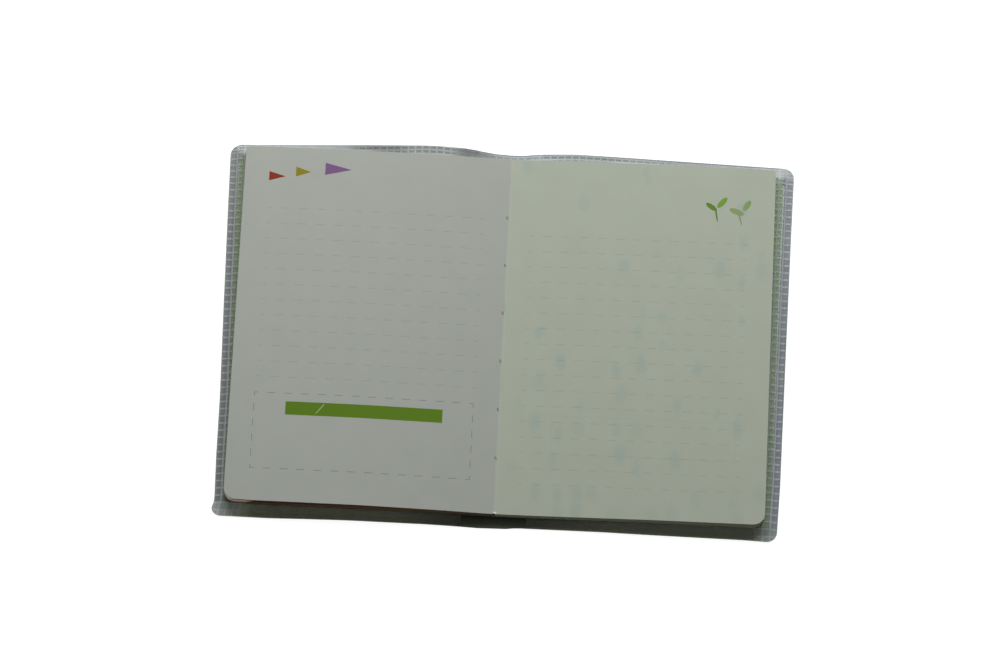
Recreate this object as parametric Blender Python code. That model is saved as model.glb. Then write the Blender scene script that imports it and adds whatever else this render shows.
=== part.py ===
"""A6 pocket notebook, lying open at the middle of its centre section.

The text block is nine thread-sewn sections of folded sheets, with a folded endpaper at each side. It
sits in a card cover, and the card's two boards are tucked into the welded pockets of a clear,
grid-printed slip jacket. The book lies on the table with its spine along Y and the head of the pages
towards +Y. The front half is at -X and the back half at +X. The front half is hinged to the back half
along the gutter, and the two halves of the centre sheet turn about the same fold.
"""

import math

import bmesh
import bpy
from mathutils import Vector

# Driving dimensions, in metres

PAGE_WIDTH = 0.105
PAGE_HEIGHT = 0.148
PAGE_CORNER_RADIUS = 0.0045
SHEET_THICKNESS = 0.00012

SECTION_COUNT = 9
SECTION_LIMB_THICKNESS = 0.0004
SECTION_SLIT = 0.00008
CENTRE_HALF_THICKNESS = 0.00034
ENDPAPER_THICKNESS = 0.00015

CARD_THICKNESS = 0.0005
CARD_OVERHANG = 0.0020
CARD_SPINE_WIDTH = 0.0100
CARD_CORNER_RADIUS = 0.0006

JACKET_THICKNESS = 0.00035
JACKET_OVERHANG_ENDS = 0.0037
JACKET_OVERHANG_FORE_EDGE = 0.0056
JACKET_TOWARDS_TAIL = 0.0007
JACKET_CORNER_RADIUS = 0.004
JACKET_SPINE_WIDTH = 0.0120
POCKET_THICKNESS = 0.00025
POCKET_MOUTH_FROM_GUTTER = 0.0125
WELD_WIDTH = 0.0014

STITCH_COUNT = 6
STITCH_PITCH = 0.0202
STITCH_LENGTH = 0.0052
STITCH_LEG = 0.0007
THREAD_DIAMETER = 0.0004
KETTLE_FROM_END = 0.0115
KETTLE_DIAMETER = 0.00022
LINING_THICKNESS = 0.00024
LINING_FROM_END = 0.0160

# How the open halves lie: sewing pinches them at the gutter, and the paper swells a little mid-page

GUTTER_PINCH = 0.28
PINCH_WIDTH = 0.022
SWELL_AT_HEAD = 0.0008
SWELL_AT_TAIL = 0.0004
SWELL_START = 0.012
SWELL_END = 0.088

# Clearances

LAYER_GAP = 0.0001
SECTION_GAP = 0.00008
GUTTER_GAP = 0.00015
BEND_GAP = 0.0003
HINGE_ABOVE_PAGES = 0.0006
LEAF_FROM_GUTTER = 0.0008

# Heights above the table, each layer standing on the one below

CARD_BOTTOM = JACKET_THICKNESS + LAYER_GAP
PASTEDOWN_BOTTOM = CARD_BOTTOM + CARD_THICKNESS + LAYER_GAP
POCKET_BOTTOM = PASTEDOWN_BOTTOM + ENDPAPER_THICKNESS + LAYER_GAP
FLYLEAF_BOTTOM = POCKET_BOTTOM + POCKET_THICKNESS + LAYER_GAP
SECTIONS_PER_HALF = (SECTION_COUNT - 1) // 2
SECTION_THICKNESS = 2 * SECTION_LIMB_THICKNESS + SECTION_SLIT
SECTION_STEP = SECTION_THICKNESS + SECTION_GAP
SECTIONS_BOTTOM = FLYLEAF_BOTTOM + ENDPAPER_THICKNESS + SECTION_GAP
CENTRE_BOTTOM = SECTIONS_BOTTOM + SECTIONS_PER_HALF * SECTION_STEP
LEAF_BOTTOM = CENTRE_BOTTOM + CENTRE_HALF_THICKNESS + SECTION_GAP
HINGE_HEIGHT = LEAF_BOTTOM + SHEET_THICKNESS + HINGE_ABOVE_PAGES

# Distances from the gutter

FOLD_X = GUTTER_GAP + LINING_THICKNESS + GUTTER_GAP
BOARD_OUTER_X = PAGE_WIDTH + CARD_OVERHANG
PANEL_OUTER_X = PAGE_WIDTH + JACKET_OVERHANG_FORE_EDGE
PAGE_HALF_HEIGHT = PAGE_HEIGHT / 2
JACKET_HALF_HEIGHT = PAGE_HALF_HEIGHT + JACKET_OVERHANG_ENDS

# Mesh detail

CORNER_STEPS = 5
FOLD_STEPS = 6
PINCH_STEPS = 6
PINCH_SPACING = 1.4
SWELL_STEPS = 8

FRONT, BACK = -1, 1
SIDE_NAMES = {FRONT: "front", BACK: "back"}


def clear_scene():
    for old in list(bpy.data.objects):
        bpy.data.objects.remove(old, do_unlink=True)


def make_material(name, colour, roughness, alpha=1.0):
    material = bpy.data.materials.new(name)
    material.use_nodes = True
    shader = material.node_tree.nodes["Principled BSDF"]
    shader.inputs["Base Color"].default_value = (*colour, 1.0)
    shader.inputs["Roughness"].default_value = roughness
    shader.inputs["Metallic"].default_value = 0.0
    shader.inputs["Alpha"].default_value = alpha
    return material


def add_axis(name, height, parent=None):
    """An empty on the hinge line. The pieces that turn about it hang on it."""
    axis = bpy.data.objects.new(name, None)
    axis.location = (0, 0, height)
    axis.parent = parent
    bpy.context.scene.collection.objects.link(axis)
    return axis


def half_axis(side):
    return bpy.data.objects[f"{SIDE_NAMES[side]}_half_axis"]


def hang(obj, axis):
    """Lets a piece turn with an axis.

    Pieces are modelled about the middle of the text block. The jacket lies a little towards the tail of
    it, and the part's origin is under the middle of the jacket.
    """
    obj.parent = axis
    obj.location = (0, JACKET_TOWARDS_TAIL, -HINGE_HEIGHT)


def smooth_step(t):
    t = min(max(t, 0.0), 1.0)
    return t * t * (3 - 2 * t)


def swell(x, y):
    """How far the open book swells up from the table at this place."""
    along = (abs(x) - SWELL_START) / (SWELL_END - SWELL_START)
    if not 0 < along < 1:
        return 0.0
    towards_head = (y + PAGE_HALF_HEIGHT) / PAGE_HEIGHT
    height = SWELL_AT_TAIL + (SWELL_AT_HEAD - SWELL_AT_TAIL) * towards_head
    return height * math.sin(math.pi * along) ** 2


def settled_height(x, y, z):
    """The height at which a point of a flat-laid layer ends up in the open book."""
    pinch = GUTTER_PINCH * (1 - smooth_step(abs(x) / PINCH_WIDTH))
    return z * (1 - pinch) + swell(x, y)


def bend_stations():
    """Distances from the gutter at which every layer gets a row of vertices, so that all bend alike."""
    near = [PINCH_WIDTH * (k / PINCH_STEPS) ** PINCH_SPACING for k in range(1, PINCH_STEPS + 1)]
    step = (SWELL_END - PINCH_WIDTH) / SWELL_STEPS
    return near + [PINCH_WIDTH + step * k for k in range(1, SWELL_STEPS + 1)]


def corner_arc(centre_x, centre_y, radius, first_angle):
    """Points of a quarter circle, anticlockwise from first_angle."""
    points = []
    for k in range(CORNER_STEPS + 1):
        angle = first_angle + math.pi / 2 * k / CORNER_STEPS
        points.append((centre_x + radius * math.cos(angle), centre_y + radius * math.sin(angle)))
    return points


def rectangle(inner_x, outer_x, half_height, middle_y=0.0):
    tail_y, head_y = middle_y - half_height, middle_y + half_height
    return [(inner_x, tail_y), (outer_x, tail_y), (outer_x, head_y), (inner_x, head_y)]


def fore_edge_outline(inner_x, outer_x, half_height, radius, middle_y=0.0):
    """A page-like outline: square at the gutter side, rounded at the two fore-edge corners."""
    tail_y, head_y = middle_y - half_height, middle_y + half_height
    points = [(inner_x, tail_y)]
    points += corner_arc(outer_x - radius, tail_y + radius, radius, -math.pi / 2)
    points += corner_arc(outer_x - radius, head_y - radius, radius, 0.0)
    points.append((inner_x, head_y))
    return points


def jacket_outline(inner_x, inset=0.0):
    """The outline of half the jacket from inner_x outwards, or of a line that runs inset from its edge."""
    return fore_edge_outline(
        inner_x,
        PANEL_OUTER_X - inset,
        JACKET_HALF_HEIGHT - inset,
        JACKET_CORNER_RADIUS - inset,
        -JACKET_TOWARDS_TAIL,
    )


def unfolded_outline(limb, half_height, radius):
    """The outline of a sheet before it is folded along x = 0: all four corners are rounded."""
    right = fore_edge_outline(0.0, limb, half_height, radius)[1:-1]
    left = [(-x, y) for x, y in reversed(right)]
    return right + left


def extruded(bm, outline, bottom, thickness):
    """Adds a flat plate of this outline to bm."""
    face = bm.faces.new([bm.verts.new((x, y, bottom)) for x, y in outline])
    grown = bmesh.ops.extrude_face_region(bm, geom=[face])
    raised = [v for v in grown["geom"] if isinstance(v, bmesh.types.BMVert)]
    bmesh.ops.translate(bm, verts=raised, vec=Vector((0, 0, thickness)))


def cut_across(bm, positions):
    """Adds a row of vertices along each plane x = position."""
    for position in positions:
        bmesh.ops.bisect_plane(
            bm,
            geom=bm.verts[:] + bm.edges[:] + bm.faces[:],
            plane_co=(position, 0, 0),
            plane_no=(1, 0, 0),
            dist=1e-7,
        )


def settle(bm):
    """Bends a flat-laid piece of the back half to lie as the open book does."""
    cut_across(bm, bend_stations())
    for vertex in bm.verts:
        vertex.co.z = settled_height(*vertex.co)


def finish_object(bm, name, side, material):
    """Turns bm, modelled for the back half, into the named object on its own side."""
    for vertex in bm.verts:
        vertex.co.x *= side
    bmesh.ops.recalc_face_normals(bm, faces=bm.faces[:])
    if bm.calc_volume(signed=True) < 0:
        bmesh.ops.reverse_faces(bm, faces=bm.faces[:])
    mesh = bpy.data.meshes.new(name)
    bm.to_mesh(mesh)
    bm.free()
    mesh.materials.append(material)
    obj = bpy.data.objects.new(name, mesh)
    bpy.context.scene.collection.objects.link(obj)
    hang(obj, half_axis(side))
    return obj


def shade_round(obj):
    obj.data.shade_smooth()
    obj.data.set_sharp_from_angle(angle=math.radians(35))
    return obj


def make_plate(name, side, outline, bottom, thickness, material):
    bm = bmesh.new()
    extruded(bm, outline, bottom, thickness)
    settle(bm)
    return shade_round(finish_object(bm, name, side, material))


def make_strip(name, outline, bottom, thickness, material):
    """A strip across the spine, symmetric about the gutter."""
    bm = bmesh.new()
    extruded(bm, outline, bottom, thickness)
    half_width = max(x for x, y in outline)
    inside = [s for s in bend_stations() if s < half_width]
    cut_across(bm, [-s for s in reversed(inside)] + [0.0] + inside)
    for vertex in bm.verts:
        vertex.co.z = settled_height(*vertex.co)
    return shade_round(finish_object(bm, name, BACK, material))


def make_folded_sheet(name, side, bottom, thickness, inside_gap, fold_x, material):
    """A sheet cut flat with rounded corners, then folded once so that both limbs lie on one side.

    The lower limb starts at bottom, the limbs are inside_gap apart, and the fold reaches fold_x.
    """
    inner_radius = inside_gap / 2
    bend_radius = inner_radius + thickness / 2
    centre_x = fold_x + inner_radius + thickness
    centre_z = bottom + thickness + inner_radius
    half_arc = math.pi / 2 * bend_radius
    bm = bmesh.new()
    outline = unfolded_outline(PAGE_WIDTH - centre_x + half_arc, PAGE_HALF_HEIGHT, PAGE_CORNER_RADIUS)
    extruded(bm, outline, 0.0, thickness)
    cut_across(bm, [half_arc * (2 * k / FOLD_STEPS - 1) for k in range(FOLD_STEPS + 1)])
    for vertex in bm.verts:
        along, depth = vertex.co.x, vertex.co.z
        angle = min(max(along / bend_radius, -math.pi / 2), math.pi / 2)
        past_fold = max(abs(along) - half_arc, 0.0)
        vertex.co.x = centre_x - (inner_radius + depth) * math.cos(angle) + past_fold
        vertex.co.z = centre_z + (inner_radius + depth) * math.sin(angle)
    settle(bm)
    return shade_round(finish_object(bm, name, side, material))


def add_jacket(pvc):
    """The clear outer sheet, as two panels and the strip that bends round the spine."""
    half_spine = JACKET_SPINE_WIDTH / 2
    for side, word in SIDE_NAMES.items():
        make_plate(f"jacket_{word}_panel", side, jacket_outline(half_spine), 0.0, JACKET_THICKNESS, pvc)
    edge = half_spine - BEND_GAP
    strip = rectangle(-edge, edge, JACKET_HALF_HEIGHT, -JACKET_TOWARDS_TAIL)
    make_strip("jacket_spine", strip, 0.0, JACKET_THICKNESS, pvc)


def pocket_rings():
    """Outlines and heights of the pocket flap, from its welded rim up over the edge of the board."""
    on_panel = JACKET_THICKNESS + LAYER_GAP
    mouth = POCKET_MOUTH_FROM_GUTTER
    rim = jacket_outline(mouth)
    weld = jacket_outline(mouth, WELD_WIDTH)
    over_board = fore_edge_outline(mouth, BOARD_OUTER_X, PAGE_HALF_HEIGHT, CARD_CORNER_RADIUS)
    return [(rim, on_panel), (weld, on_panel), (over_board, POCKET_BOTTOM)]


def make_pocket(name, side, pvc):
    """The flap that holds the board: welded round three sides, open towards the gutter."""
    bm = bmesh.new()
    rings = [[bm.verts.new((x, y, z)) for x, y in outline] for outline, z in pocket_rings()]
    for outer, inner in zip(rings, rings[1:]):
        for k in range(len(outer) - 1):
            bm.faces.new((outer[k], outer[k + 1], inner[k + 1], inner[k]))
    bm.faces.new(rings[-1])
    bmesh.ops.recalc_face_normals(bm, faces=bm.faces[:])
    grown = bmesh.ops.extrude_face_region(bm, geom=bm.faces[:])
    raised = [v for v in grown["geom"] if isinstance(v, bmesh.types.BMVert)]
    bmesh.ops.translate(bm, verts=raised, vec=Vector((0, 0, POCKET_THICKNESS)))
    settle(bm)
    return shade_round(finish_object(bm, name, side, pvc))


def add_pockets(pvc):
    for side, word in SIDE_NAMES.items():
        make_pocket(f"jacket_{word}_pocket", side, pvc)


def add_card_cover(card):
    """The card cover: two boards and the spine strip that bends between them."""
    half_spine = CARD_SPINE_WIDTH / 2
    outline = fore_edge_outline(half_spine, BOARD_OUTER_X, PAGE_HALF_HEIGHT, CARD_CORNER_RADIUS)
    for side, word in SIDE_NAMES.items():
        make_plate(f"cover_{word}_board", side, outline, CARD_BOTTOM, CARD_THICKNESS, card)
    edge = half_spine - BEND_GAP
    make_strip("cover_spine", rectangle(-edge, edge, PAGE_HALF_HEIGHT), CARD_BOTTOM, CARD_THICKNESS, card)


def add_endpapers(paper):
    """One folded sheet on each side: a limb glued to the board, and a free flyleaf over the pocket."""
    between = FLYLEAF_BOTTOM - PASTEDOWN_BOTTOM - ENDPAPER_THICKNESS
    for side, word in SIDE_NAMES.items():
        make_folded_sheet(
            f"endpaper_{word}", side, PASTEDOWN_BOTTOM, ENDPAPER_THICKNESS, between, FOLD_X, paper
        )


def add_sections(paper):
    """The closed sections, lowest first on each side, each a gathering folded once."""
    for level in range(SECTIONS_PER_HALF):
        bottom = SECTIONS_BOTTOM + level * SECTION_STEP
        numbers = {FRONT: level + 1, BACK: SECTION_COUNT - level}
        for side, number in numbers.items():
            name = f"section_{number:02d}"
            make_folded_sheet(name, side, bottom, SECTION_LIMB_THICKNESS, SECTION_SLIT, FOLD_X, paper)


def add_centre_section(paper):
    """The section that the book is open at: its lower sheets, and the two halves of its centre sheet."""
    number = SECTIONS_PER_HALF + 1
    lower = fore_edge_outline(FOLD_X, PAGE_WIDTH, PAGE_HALF_HEIGHT, PAGE_CORNER_RADIUS)
    leaf = fore_edge_outline(LEAF_FROM_GUTTER, PAGE_WIDTH, PAGE_HALF_HEIGHT, PAGE_CORNER_RADIUS)
    for side, word in SIDE_NAMES.items():
        make_plate(
            f"section_{number:02d}_{word}_half", side, lower, CENTRE_BOTTOM, CENTRE_HALF_THICKNESS, paper
        )
        sheet = make_plate(f"centre_leaf_{word}", side, leaf, LEAF_BOTTOM, SHEET_THICKNESS, paper)
        hang(sheet, add_axis(f"{word}_leaf_axis", 0, half_axis(side)))


def add_linings(cloth):
    """The strip glued over the folds, bent double while the book is open: one half on each side."""
    low = settled_height(0, 0, SECTIONS_BOTTOM)
    high = settled_height(0, 0, CENTRE_BOTTOM) - STITCH_LEG
    half_height = PAGE_HALF_HEIGHT - LINING_FROM_END
    for side, word in SIDE_NAMES.items():
        bm = bmesh.new()
        extruded(bm, rectangle(GUTTER_GAP, GUTTER_GAP + LINING_THICKNESS, half_height), low, high - low)
        finish_object(bm, f"spine_lining_{word}", side, cloth)


def make_thread(name, side, route, diameter, thread):
    """Round thread along a route, which is a list of points."""
    curve = bpy.data.curves.new(name, "CURVE")
    curve.dimensions = "3D"
    curve.bevel_depth = diameter / 2
    curve.bevel_resolution = 1
    curve.use_fill_caps = True
    spline = curve.splines.new("POLY")
    spline.points.add(len(route) - 1)
    for point, place in zip(spline.points, route):
        point.co = (*place, 1.0)
    curve.materials.append(thread)
    obj = bpy.data.objects.new(name, curve)
    bpy.context.scene.collection.objects.link(obj)
    hang(obj, half_axis(side))


def stitch_route(middle_y, top_z):
    """One stitch: in through the fold, along it, and out again."""
    half = STITCH_LENGTH / 2
    turn = STITCH_LEG / 2
    return [
        (0, middle_y - half - turn, top_z - STITCH_LEG),
        (0, middle_y - half, top_z - turn),
        (0, middle_y - half + turn, top_z),
        (0, middle_y + half - turn, top_z),
        (0, middle_y + half, top_z - turn),
        (0, middle_y + half + turn, top_z - STITCH_LEG),
    ]


def add_sewing(thread):
    """One thread runs in and out along the gutter, and kettle stitches tie the sections near the ends."""
    fold_top = settled_height(0, 0, CENTRE_BOTTOM + CENTRE_HALF_THICKNESS)
    first = -STITCH_PITCH * (STITCH_COUNT - 1) / 2
    route = []
    for k in range(STITCH_COUNT):
        route += stitch_route(first + k * STITCH_PITCH, fold_top)
    make_thread("sewing_thread", BACK, route, THREAD_DIAMETER, thread)
    low = settled_height(0, 0, SECTIONS_BOTTOM)
    high = settled_height(0, 0, CENTRE_BOTTOM) - STITCH_LEG
    middle_x = GUTTER_GAP + LINING_THICKNESS / 2
    kettle_y = PAGE_HALF_HEIGHT - KETTLE_FROM_END
    for side, word in SIDE_NAMES.items():
        for end, y in (("head", kettle_y), ("tail", -kettle_y)):
            tie = [(side * middle_x, y, low), (side * middle_x, y, high)]
            make_thread(f"kettle_stitch_{word}_{end}", side, tie, KETTLE_DIAMETER, thread)


def build():
    clear_scene()
    for word in SIDE_NAMES.values():
        add_axis(f"{word}_half_axis", HINGE_HEIGHT)
    pvc = make_material("clear_grid_pvc", (0.22, 0.25, 0.26), 0.3, alpha=0.6)
    card = make_material("green_card", (0.16, 0.28, 0.12), 0.75)
    page_paper = make_material("page_paper", (0.42, 0.45, 0.38), 0.9)
    end_paper = make_material("endpaper", (0.32, 0.14, 0.09), 0.85)
    cloth = make_material("spine_lining", (0.5, 0.5, 0.46), 0.9)
    thread = make_material("sewing_thread", (0.5, 0.52, 0.46), 0.7)
    add_jacket(pvc)
    add_pockets(pvc)
    add_card_cover(card)
    add_endpapers(end_paper)
    add_sections(page_paper)
    add_centre_section(page_paper)
    add_linings(cloth)
    add_sewing(thread)


build()
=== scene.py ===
# %% [markdown]
# An open pocket notebook in a clear jacket
#
# This lesson dresses a thread-sewn pocket notebook that lies open at its middle. The plain solids of the
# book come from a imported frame, which also says how the book moves: the front half folds over the back
# half, and the two halves of the centre sheet turn like pages. Each step below makes one piece or one
# finish in Blender and lays it exactly where the frame says.
#
# The first step loads that frame. Every length in the frame is in metres, so the script keeps a factor for
# the millimetres that a bookbinder thinks in.

# %% Load the frame
import math

import bmesh
import bpy
import numpy as np
from mathutils import Matrix


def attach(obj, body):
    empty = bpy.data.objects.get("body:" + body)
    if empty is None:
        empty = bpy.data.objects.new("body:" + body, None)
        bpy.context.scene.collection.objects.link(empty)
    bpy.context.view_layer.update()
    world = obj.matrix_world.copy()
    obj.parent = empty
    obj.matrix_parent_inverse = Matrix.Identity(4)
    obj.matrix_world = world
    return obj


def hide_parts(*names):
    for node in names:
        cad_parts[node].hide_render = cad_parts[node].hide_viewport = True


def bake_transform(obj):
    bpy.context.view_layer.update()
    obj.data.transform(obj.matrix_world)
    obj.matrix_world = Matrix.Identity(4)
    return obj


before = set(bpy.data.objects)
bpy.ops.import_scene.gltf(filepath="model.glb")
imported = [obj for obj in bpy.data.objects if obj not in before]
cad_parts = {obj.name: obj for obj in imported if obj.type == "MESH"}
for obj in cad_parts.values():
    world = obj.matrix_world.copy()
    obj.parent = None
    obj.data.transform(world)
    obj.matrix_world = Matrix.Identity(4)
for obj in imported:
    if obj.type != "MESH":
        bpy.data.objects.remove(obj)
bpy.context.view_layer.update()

MM = 0.001
print("solids in the frame:", len(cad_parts))

# %% [markdown]
# Where the camera stands
#
# The book was looked at from above and a little from the tail side, with a long lens that keeps both page
# edges nearly parallel. The numbers below place such a camera: its tilt from straight down, a small turn
# about its own line of sight, and its distance. The lens follows from the picture, 1000 pixels wide, in
# which a millimetre of page covers about two and a half pixels.

# %% Place the camera
IMAGE_WIDTH = 1000
CAMERA_DISTANCE = 2300 * MM
CAMERA_TILT = math.radians(20.626)
CAMERA_ROLL = math.radians(2.829)
LOOK_AT = (-0.9 * MM, 2.87 * MM, 0.0)
FOCAL_PIXELS = 5862.0


def camera_axes():
    """The camera's right, up and backward directions, turned by the roll."""
    back = np.array((0.0, -math.sin(CAMERA_TILT), math.cos(CAMERA_TILT)))
    up = np.array((0.0, math.cos(CAMERA_TILT), math.sin(CAMERA_TILT)))
    right = np.array((1.0, 0.0, 0.0))
    rolled_right = math.cos(CAMERA_ROLL) * right + math.sin(CAMERA_ROLL) * up
    rolled_up = math.cos(CAMERA_ROLL) * up - math.sin(CAMERA_ROLL) * right
    return rolled_right, rolled_up, back


def add_camera():
    data = bpy.data.cameras.new("camera_above_the_tail")
    data.sensor_width = 36.0
    data.lens = FOCAL_PIXELS / IMAGE_WIDTH * data.sensor_width
    data.clip_end = 100
    camera = bpy.data.objects.new("camera_above_the_tail", data)
    axes = camera_axes()
    place = np.array(LOOK_AT) + axes[2] * CAMERA_DISTANCE
    matrix = np.eye(4)
    for column, axis in enumerate(axes):
        matrix[:3, column] = axis
    matrix[:3, 3] = place
    camera.matrix_world = Matrix(matrix.tolist())
    bpy.context.scene.collection.objects.link(camera)
    bpy.context.scene.camera = camera
    return camera


camera = add_camera()
print("lens:", round(camera.data.lens, 1), "mm")

# %% [markdown]
# How the open book lies
#
# A book that is open at the middle isn't a flat slab. The sewing pulls the folds down into a valley, and
# from there the paper arches up to each side. The valley is deepest at the head, and the arch of the right
# half is highest near its fore edge. Two profiles describe the top page, one along the head and one along
# the tail, as distance from the gutter and height. Every layer below lies at its own share of that height,
# so layers can never cross, however the paper bends.

# %% Profiles of the top page
PAGE_WIDTH = 105.0
PAGE_HALF_HEIGHT = 74.0
PAGES_UP = 0.7
TOP_OF_LEAVES = 6.26

HEAD_PROFILE = {
    -1: ((0, 3.9), (8, 4.7), (18, 5.3), (30, 5.8), (45, 6.1), (66, 6.4), (90, 5.6), (106, 5.2)),
    1: ((0, 3.9), (6, 4.3), (14, 5.3), (26, 6.4), (45, 6.6), (60, 6.8), (77, 7.2), (95, 7.2), (106, 6.8)),
}
TAIL_PROFILE = {
    -1: ((0, 4.2), (6, 4.5), (20, 5.6), (52, 7.0), (80, 6.8), (106, 6.3)),
    1: ((0, 4.2), (10, 4.3), (26, 4.6), (60, 5.4), (99, 6.1), (106, 6.1)),
}


PROFILE_STEPS = np.arange(-30, 151, 1.0)
BLUR_REACH, BLUR_WIDTH = 9, 3.5
CRISP_BESIDE_GUTTER = 8.0


def read_off(knots, value):
    """The number at this place, on straight lines between knots of (place, number)."""
    return np.interp(value, [k[0] for k in knots], [k[1] for k in knots])


def softened(knots):
    """The profile through these knots, one value per millimetre, with its corners rounded off.

    Beside the gutter it stays as crisp as the knots say."""
    heights = read_off(knots, PROFILE_STEPS)
    offsets = np.arange(-BLUR_REACH, BLUR_REACH + 1)
    window = np.exp(-0.5 * (offsets / BLUR_WIDTH) ** 2)
    blurred = np.convolve(np.pad(heights, BLUR_REACH, mode="edge"), window / window.sum(), mode="valid")
    near = np.clip(PROFILE_STEPS / CRISP_BESIDE_GUTTER, 0, 1)
    return heights * (1 - near) + blurred * near


PROFILES = {side: (softened(TAIL_PROFILE[side]), softened(HEAD_PROFILE[side])) for side in (-1, 1)}


def top_height(x, y):
    """Height of the top page above the table. x and y are millimetres and may be arrays."""
    x, y = np.broadcast_arrays(np.asarray(x, float), np.asarray(y, float))
    towards_head = np.clip((y - PAGES_UP + PAGE_HALF_HEIGHT) / (2 * PAGE_HALF_HEIGHT), -0.05, 1.05)
    height = np.zeros(x.shape)
    for side, on_side in ((-1, x < 0), (1, x >= 0)):
        tail, head = (np.interp(np.abs(x), PROFILE_STEPS, profile) for profile in PROFILES[side])
        height = np.where(on_side, tail + (head - tail) * towards_head, height)
    return height


def lie(x, y, z):
    """Where a point ends up that would be z above the table if the book lay flat."""
    return np.asarray(z, float) * top_height(x, y) / TOP_OF_LEAVES


gutter = [round(float(lie(0, end, TOP_OF_LEAVES)), 2) for end in (PAGE_HALF_HEIGHT, -PAGE_HALF_HEIGHT)]
print("gutter above the table at head and tail, in mm:", gutter)

# %% [markdown]
# One helper for every sheet
#
# Paper, card and film are all thin sheets, and a sheet is best built as a grid of points: columns across
# the book and rows from tail to head. A modifier could thicken a single grid, but the folds need their
# inner and outer side at exact places, so the helper takes both sides as arrays and closes the rim between
# them. Upper side, lower side and rim each get a finish of their own. Each sheet also keeps its flat
# position in a UV map, so that a printed pattern stays put when the sheet bends.

# %% Build sheets from grids
def loop_uvs(mesh, flat):
    layer = mesh.uv_layers.new(name="flat")
    index = np.empty(len(mesh.loops), dtype=np.int32)
    mesh.loops.foreach_get("vertex_index", index)
    layer.data.foreach_set("uv", (flat[index] * MM).astype(np.float32).ravel())


def sheet_faces(columns, rows, first):
    """Faces of one closed sheet, whose upper points start at first, with a number for each kind of face."""
    count = columns * rows
    number = np.arange(count).reshape(columns, rows) + first
    faces, kinds = [], []
    for c in range(columns - 1):
        for r in range(rows - 1):
            a, b = int(number[c, r]), int(number[c + 1, r])
            d, e = int(number[c + 1, r + 1]), int(number[c, r + 1])
            faces += [(a, b, d, e), (e + count, d + count, b + count, a + count)]
            kinds += [0, 1]
    rim = [int(n) for n in number[:, 0]] + [int(n) for n in number[-1, 1:]]
    rim += [int(n) for n in number[-2::-1, -1]] + [int(n) for n in number[0, -2:0:-1]]
    for a, b in zip(rim, rim[1:] + rim[:1]):
        faces.append((b, a, a + count, b + count))
        kinds.append(2)
    return faces, kinds


def placed(name, mesh):
    """Turns the faces outwards, smooths them and puts the mesh into the scene as an object."""
    tidy = bmesh.new()
    tidy.from_mesh(mesh)
    bmesh.ops.recalc_face_normals(tidy, faces=tidy.faces[:])
    tidy.to_mesh(mesh)
    tidy.free()
    mesh.shade_smooth()
    obj = bpy.data.objects.new(name, mesh)
    bpy.context.scene.collection.objects.link(obj)
    return obj


def add_sheets(name, sheets, materials, sharp=40):
    """One object from several sheets. A sheet is (upper points, lower points, flat x and y), in mm."""
    points, flats, faces, kinds = [], [], [], []
    for upper, lower, flat in sheets:
        columns, rows = upper.shape[:2]
        first = sum(len(p) for p in points)
        more_faces, more_kinds = sheet_faces(columns, rows, first)
        faces += more_faces
        kinds += more_kinds
        points += [upper.reshape(-1, 3), lower.reshape(-1, 3)]
        flats += [flat.reshape(-1, 2)] * 2
    mesh = bpy.data.meshes.new(name)
    mesh.from_pydata((np.concatenate(points) * MM).tolist(), [], faces)
    loop_uvs(mesh, np.concatenate(flats))
    for material in materials:
        mesh.materials.append(material)
    mesh.polygons.foreach_set("material_index", [min(k, len(materials) - 1) for k in kinds])
    obj = placed(name, mesh)
    mesh.set_sharp_from_angle(angle=math.radians(sharp))
    return obj


print("a sheet of 3 by 3 points has", len(sheet_faces(3, 3, 0)[0]), "faces")

# %% [markdown]
# Corners of a page
#
# Rounded corners come from shortening the outermost columns along a quarter circle. The pages are round at
# the tail and nearly square at the head. The columns stand close together near the gutter and round the
# corner, where the paper bends or its outline turns, and wide apart where it runs straight.

# %% Page outline
def corner_cut(distance, radius):
    """How much a rounded corner takes off the height of a sheet, at this distance from its fore edge."""
    inside = np.clip(radius - np.asarray(distance, float), 0, radius)
    return radius - np.sqrt(radius**2 - inside**2)


TAIL_CORNER = 4.5
HEAD_CORNER = {-1: 2.0, 1: 1.2}
TAIL_SINK = 0.32
SINK_BETWEEN = {-1: (0, 14), 1: (45, 90)}
NEAR_GUTTER = (0.3, 0.5, 0.8, 1.2, 1.8, 2.5, 3.5, 4.7, 6, 8, 10)
CORNER_TURNS = (0, 15, 30, 45, 60, 72, 82, 90)


def page_rows(distance, side, half, middle, rows):
    """y of each row of a page from tail to head, at these distances from the fore edge.

    Where the pages sink to the gutter, their tail edge comes forward by a third of a millimetre."""
    distance = np.asarray(distance, float)
    start, end = SINK_BETWEEN[side]
    sink = np.clip((distance - start) / (end - start), 0, 1)
    tail = half - corner_cut(distance, TAIL_CORNER) + TAIL_SINK * sink
    head = half - corner_cut(distance, HEAD_CORNER[side])
    return middle - tail[:, None] + np.linspace(0, 1, rows)[None, :] * (tail + head)[:, None]


def stations(inner, outer, radius, step=4.0, fine=12.0):
    """Distances from the gutter for the columns: close together near the gutter and round the corner."""
    near = [v for v in NEAR_GUTTER if inner < v < fine]
    straight = list(np.arange(fine, outer - radius - 0.5, step))
    arc = [outer - radius + radius * math.sin(math.radians(turn)) for turn in CORNER_TURNS]
    return np.array([inner] + near + straight + arc)


LEAF_INNER = 0.3
print("columns of a page:", len(stations(LEAF_INNER, PAGE_WIDTH, TAIL_CORNER)))

# %% [markdown]
# Colours and small node helpers
#
# Colours are written as they look, in the usual 0 to 255 steps, and turned into the linear values that
# Blender computes with. A material here is a small tree of nodes, and small helpers keep it readable: they
# add a math node, join masks, mix two colours or map one range of values on to another. A mask is a value
# that is 1 where something is printed and 0 elsewhere. Everything is counted in millimetres on the flat
# sheet, which is also how a printer would set out the page.

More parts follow.
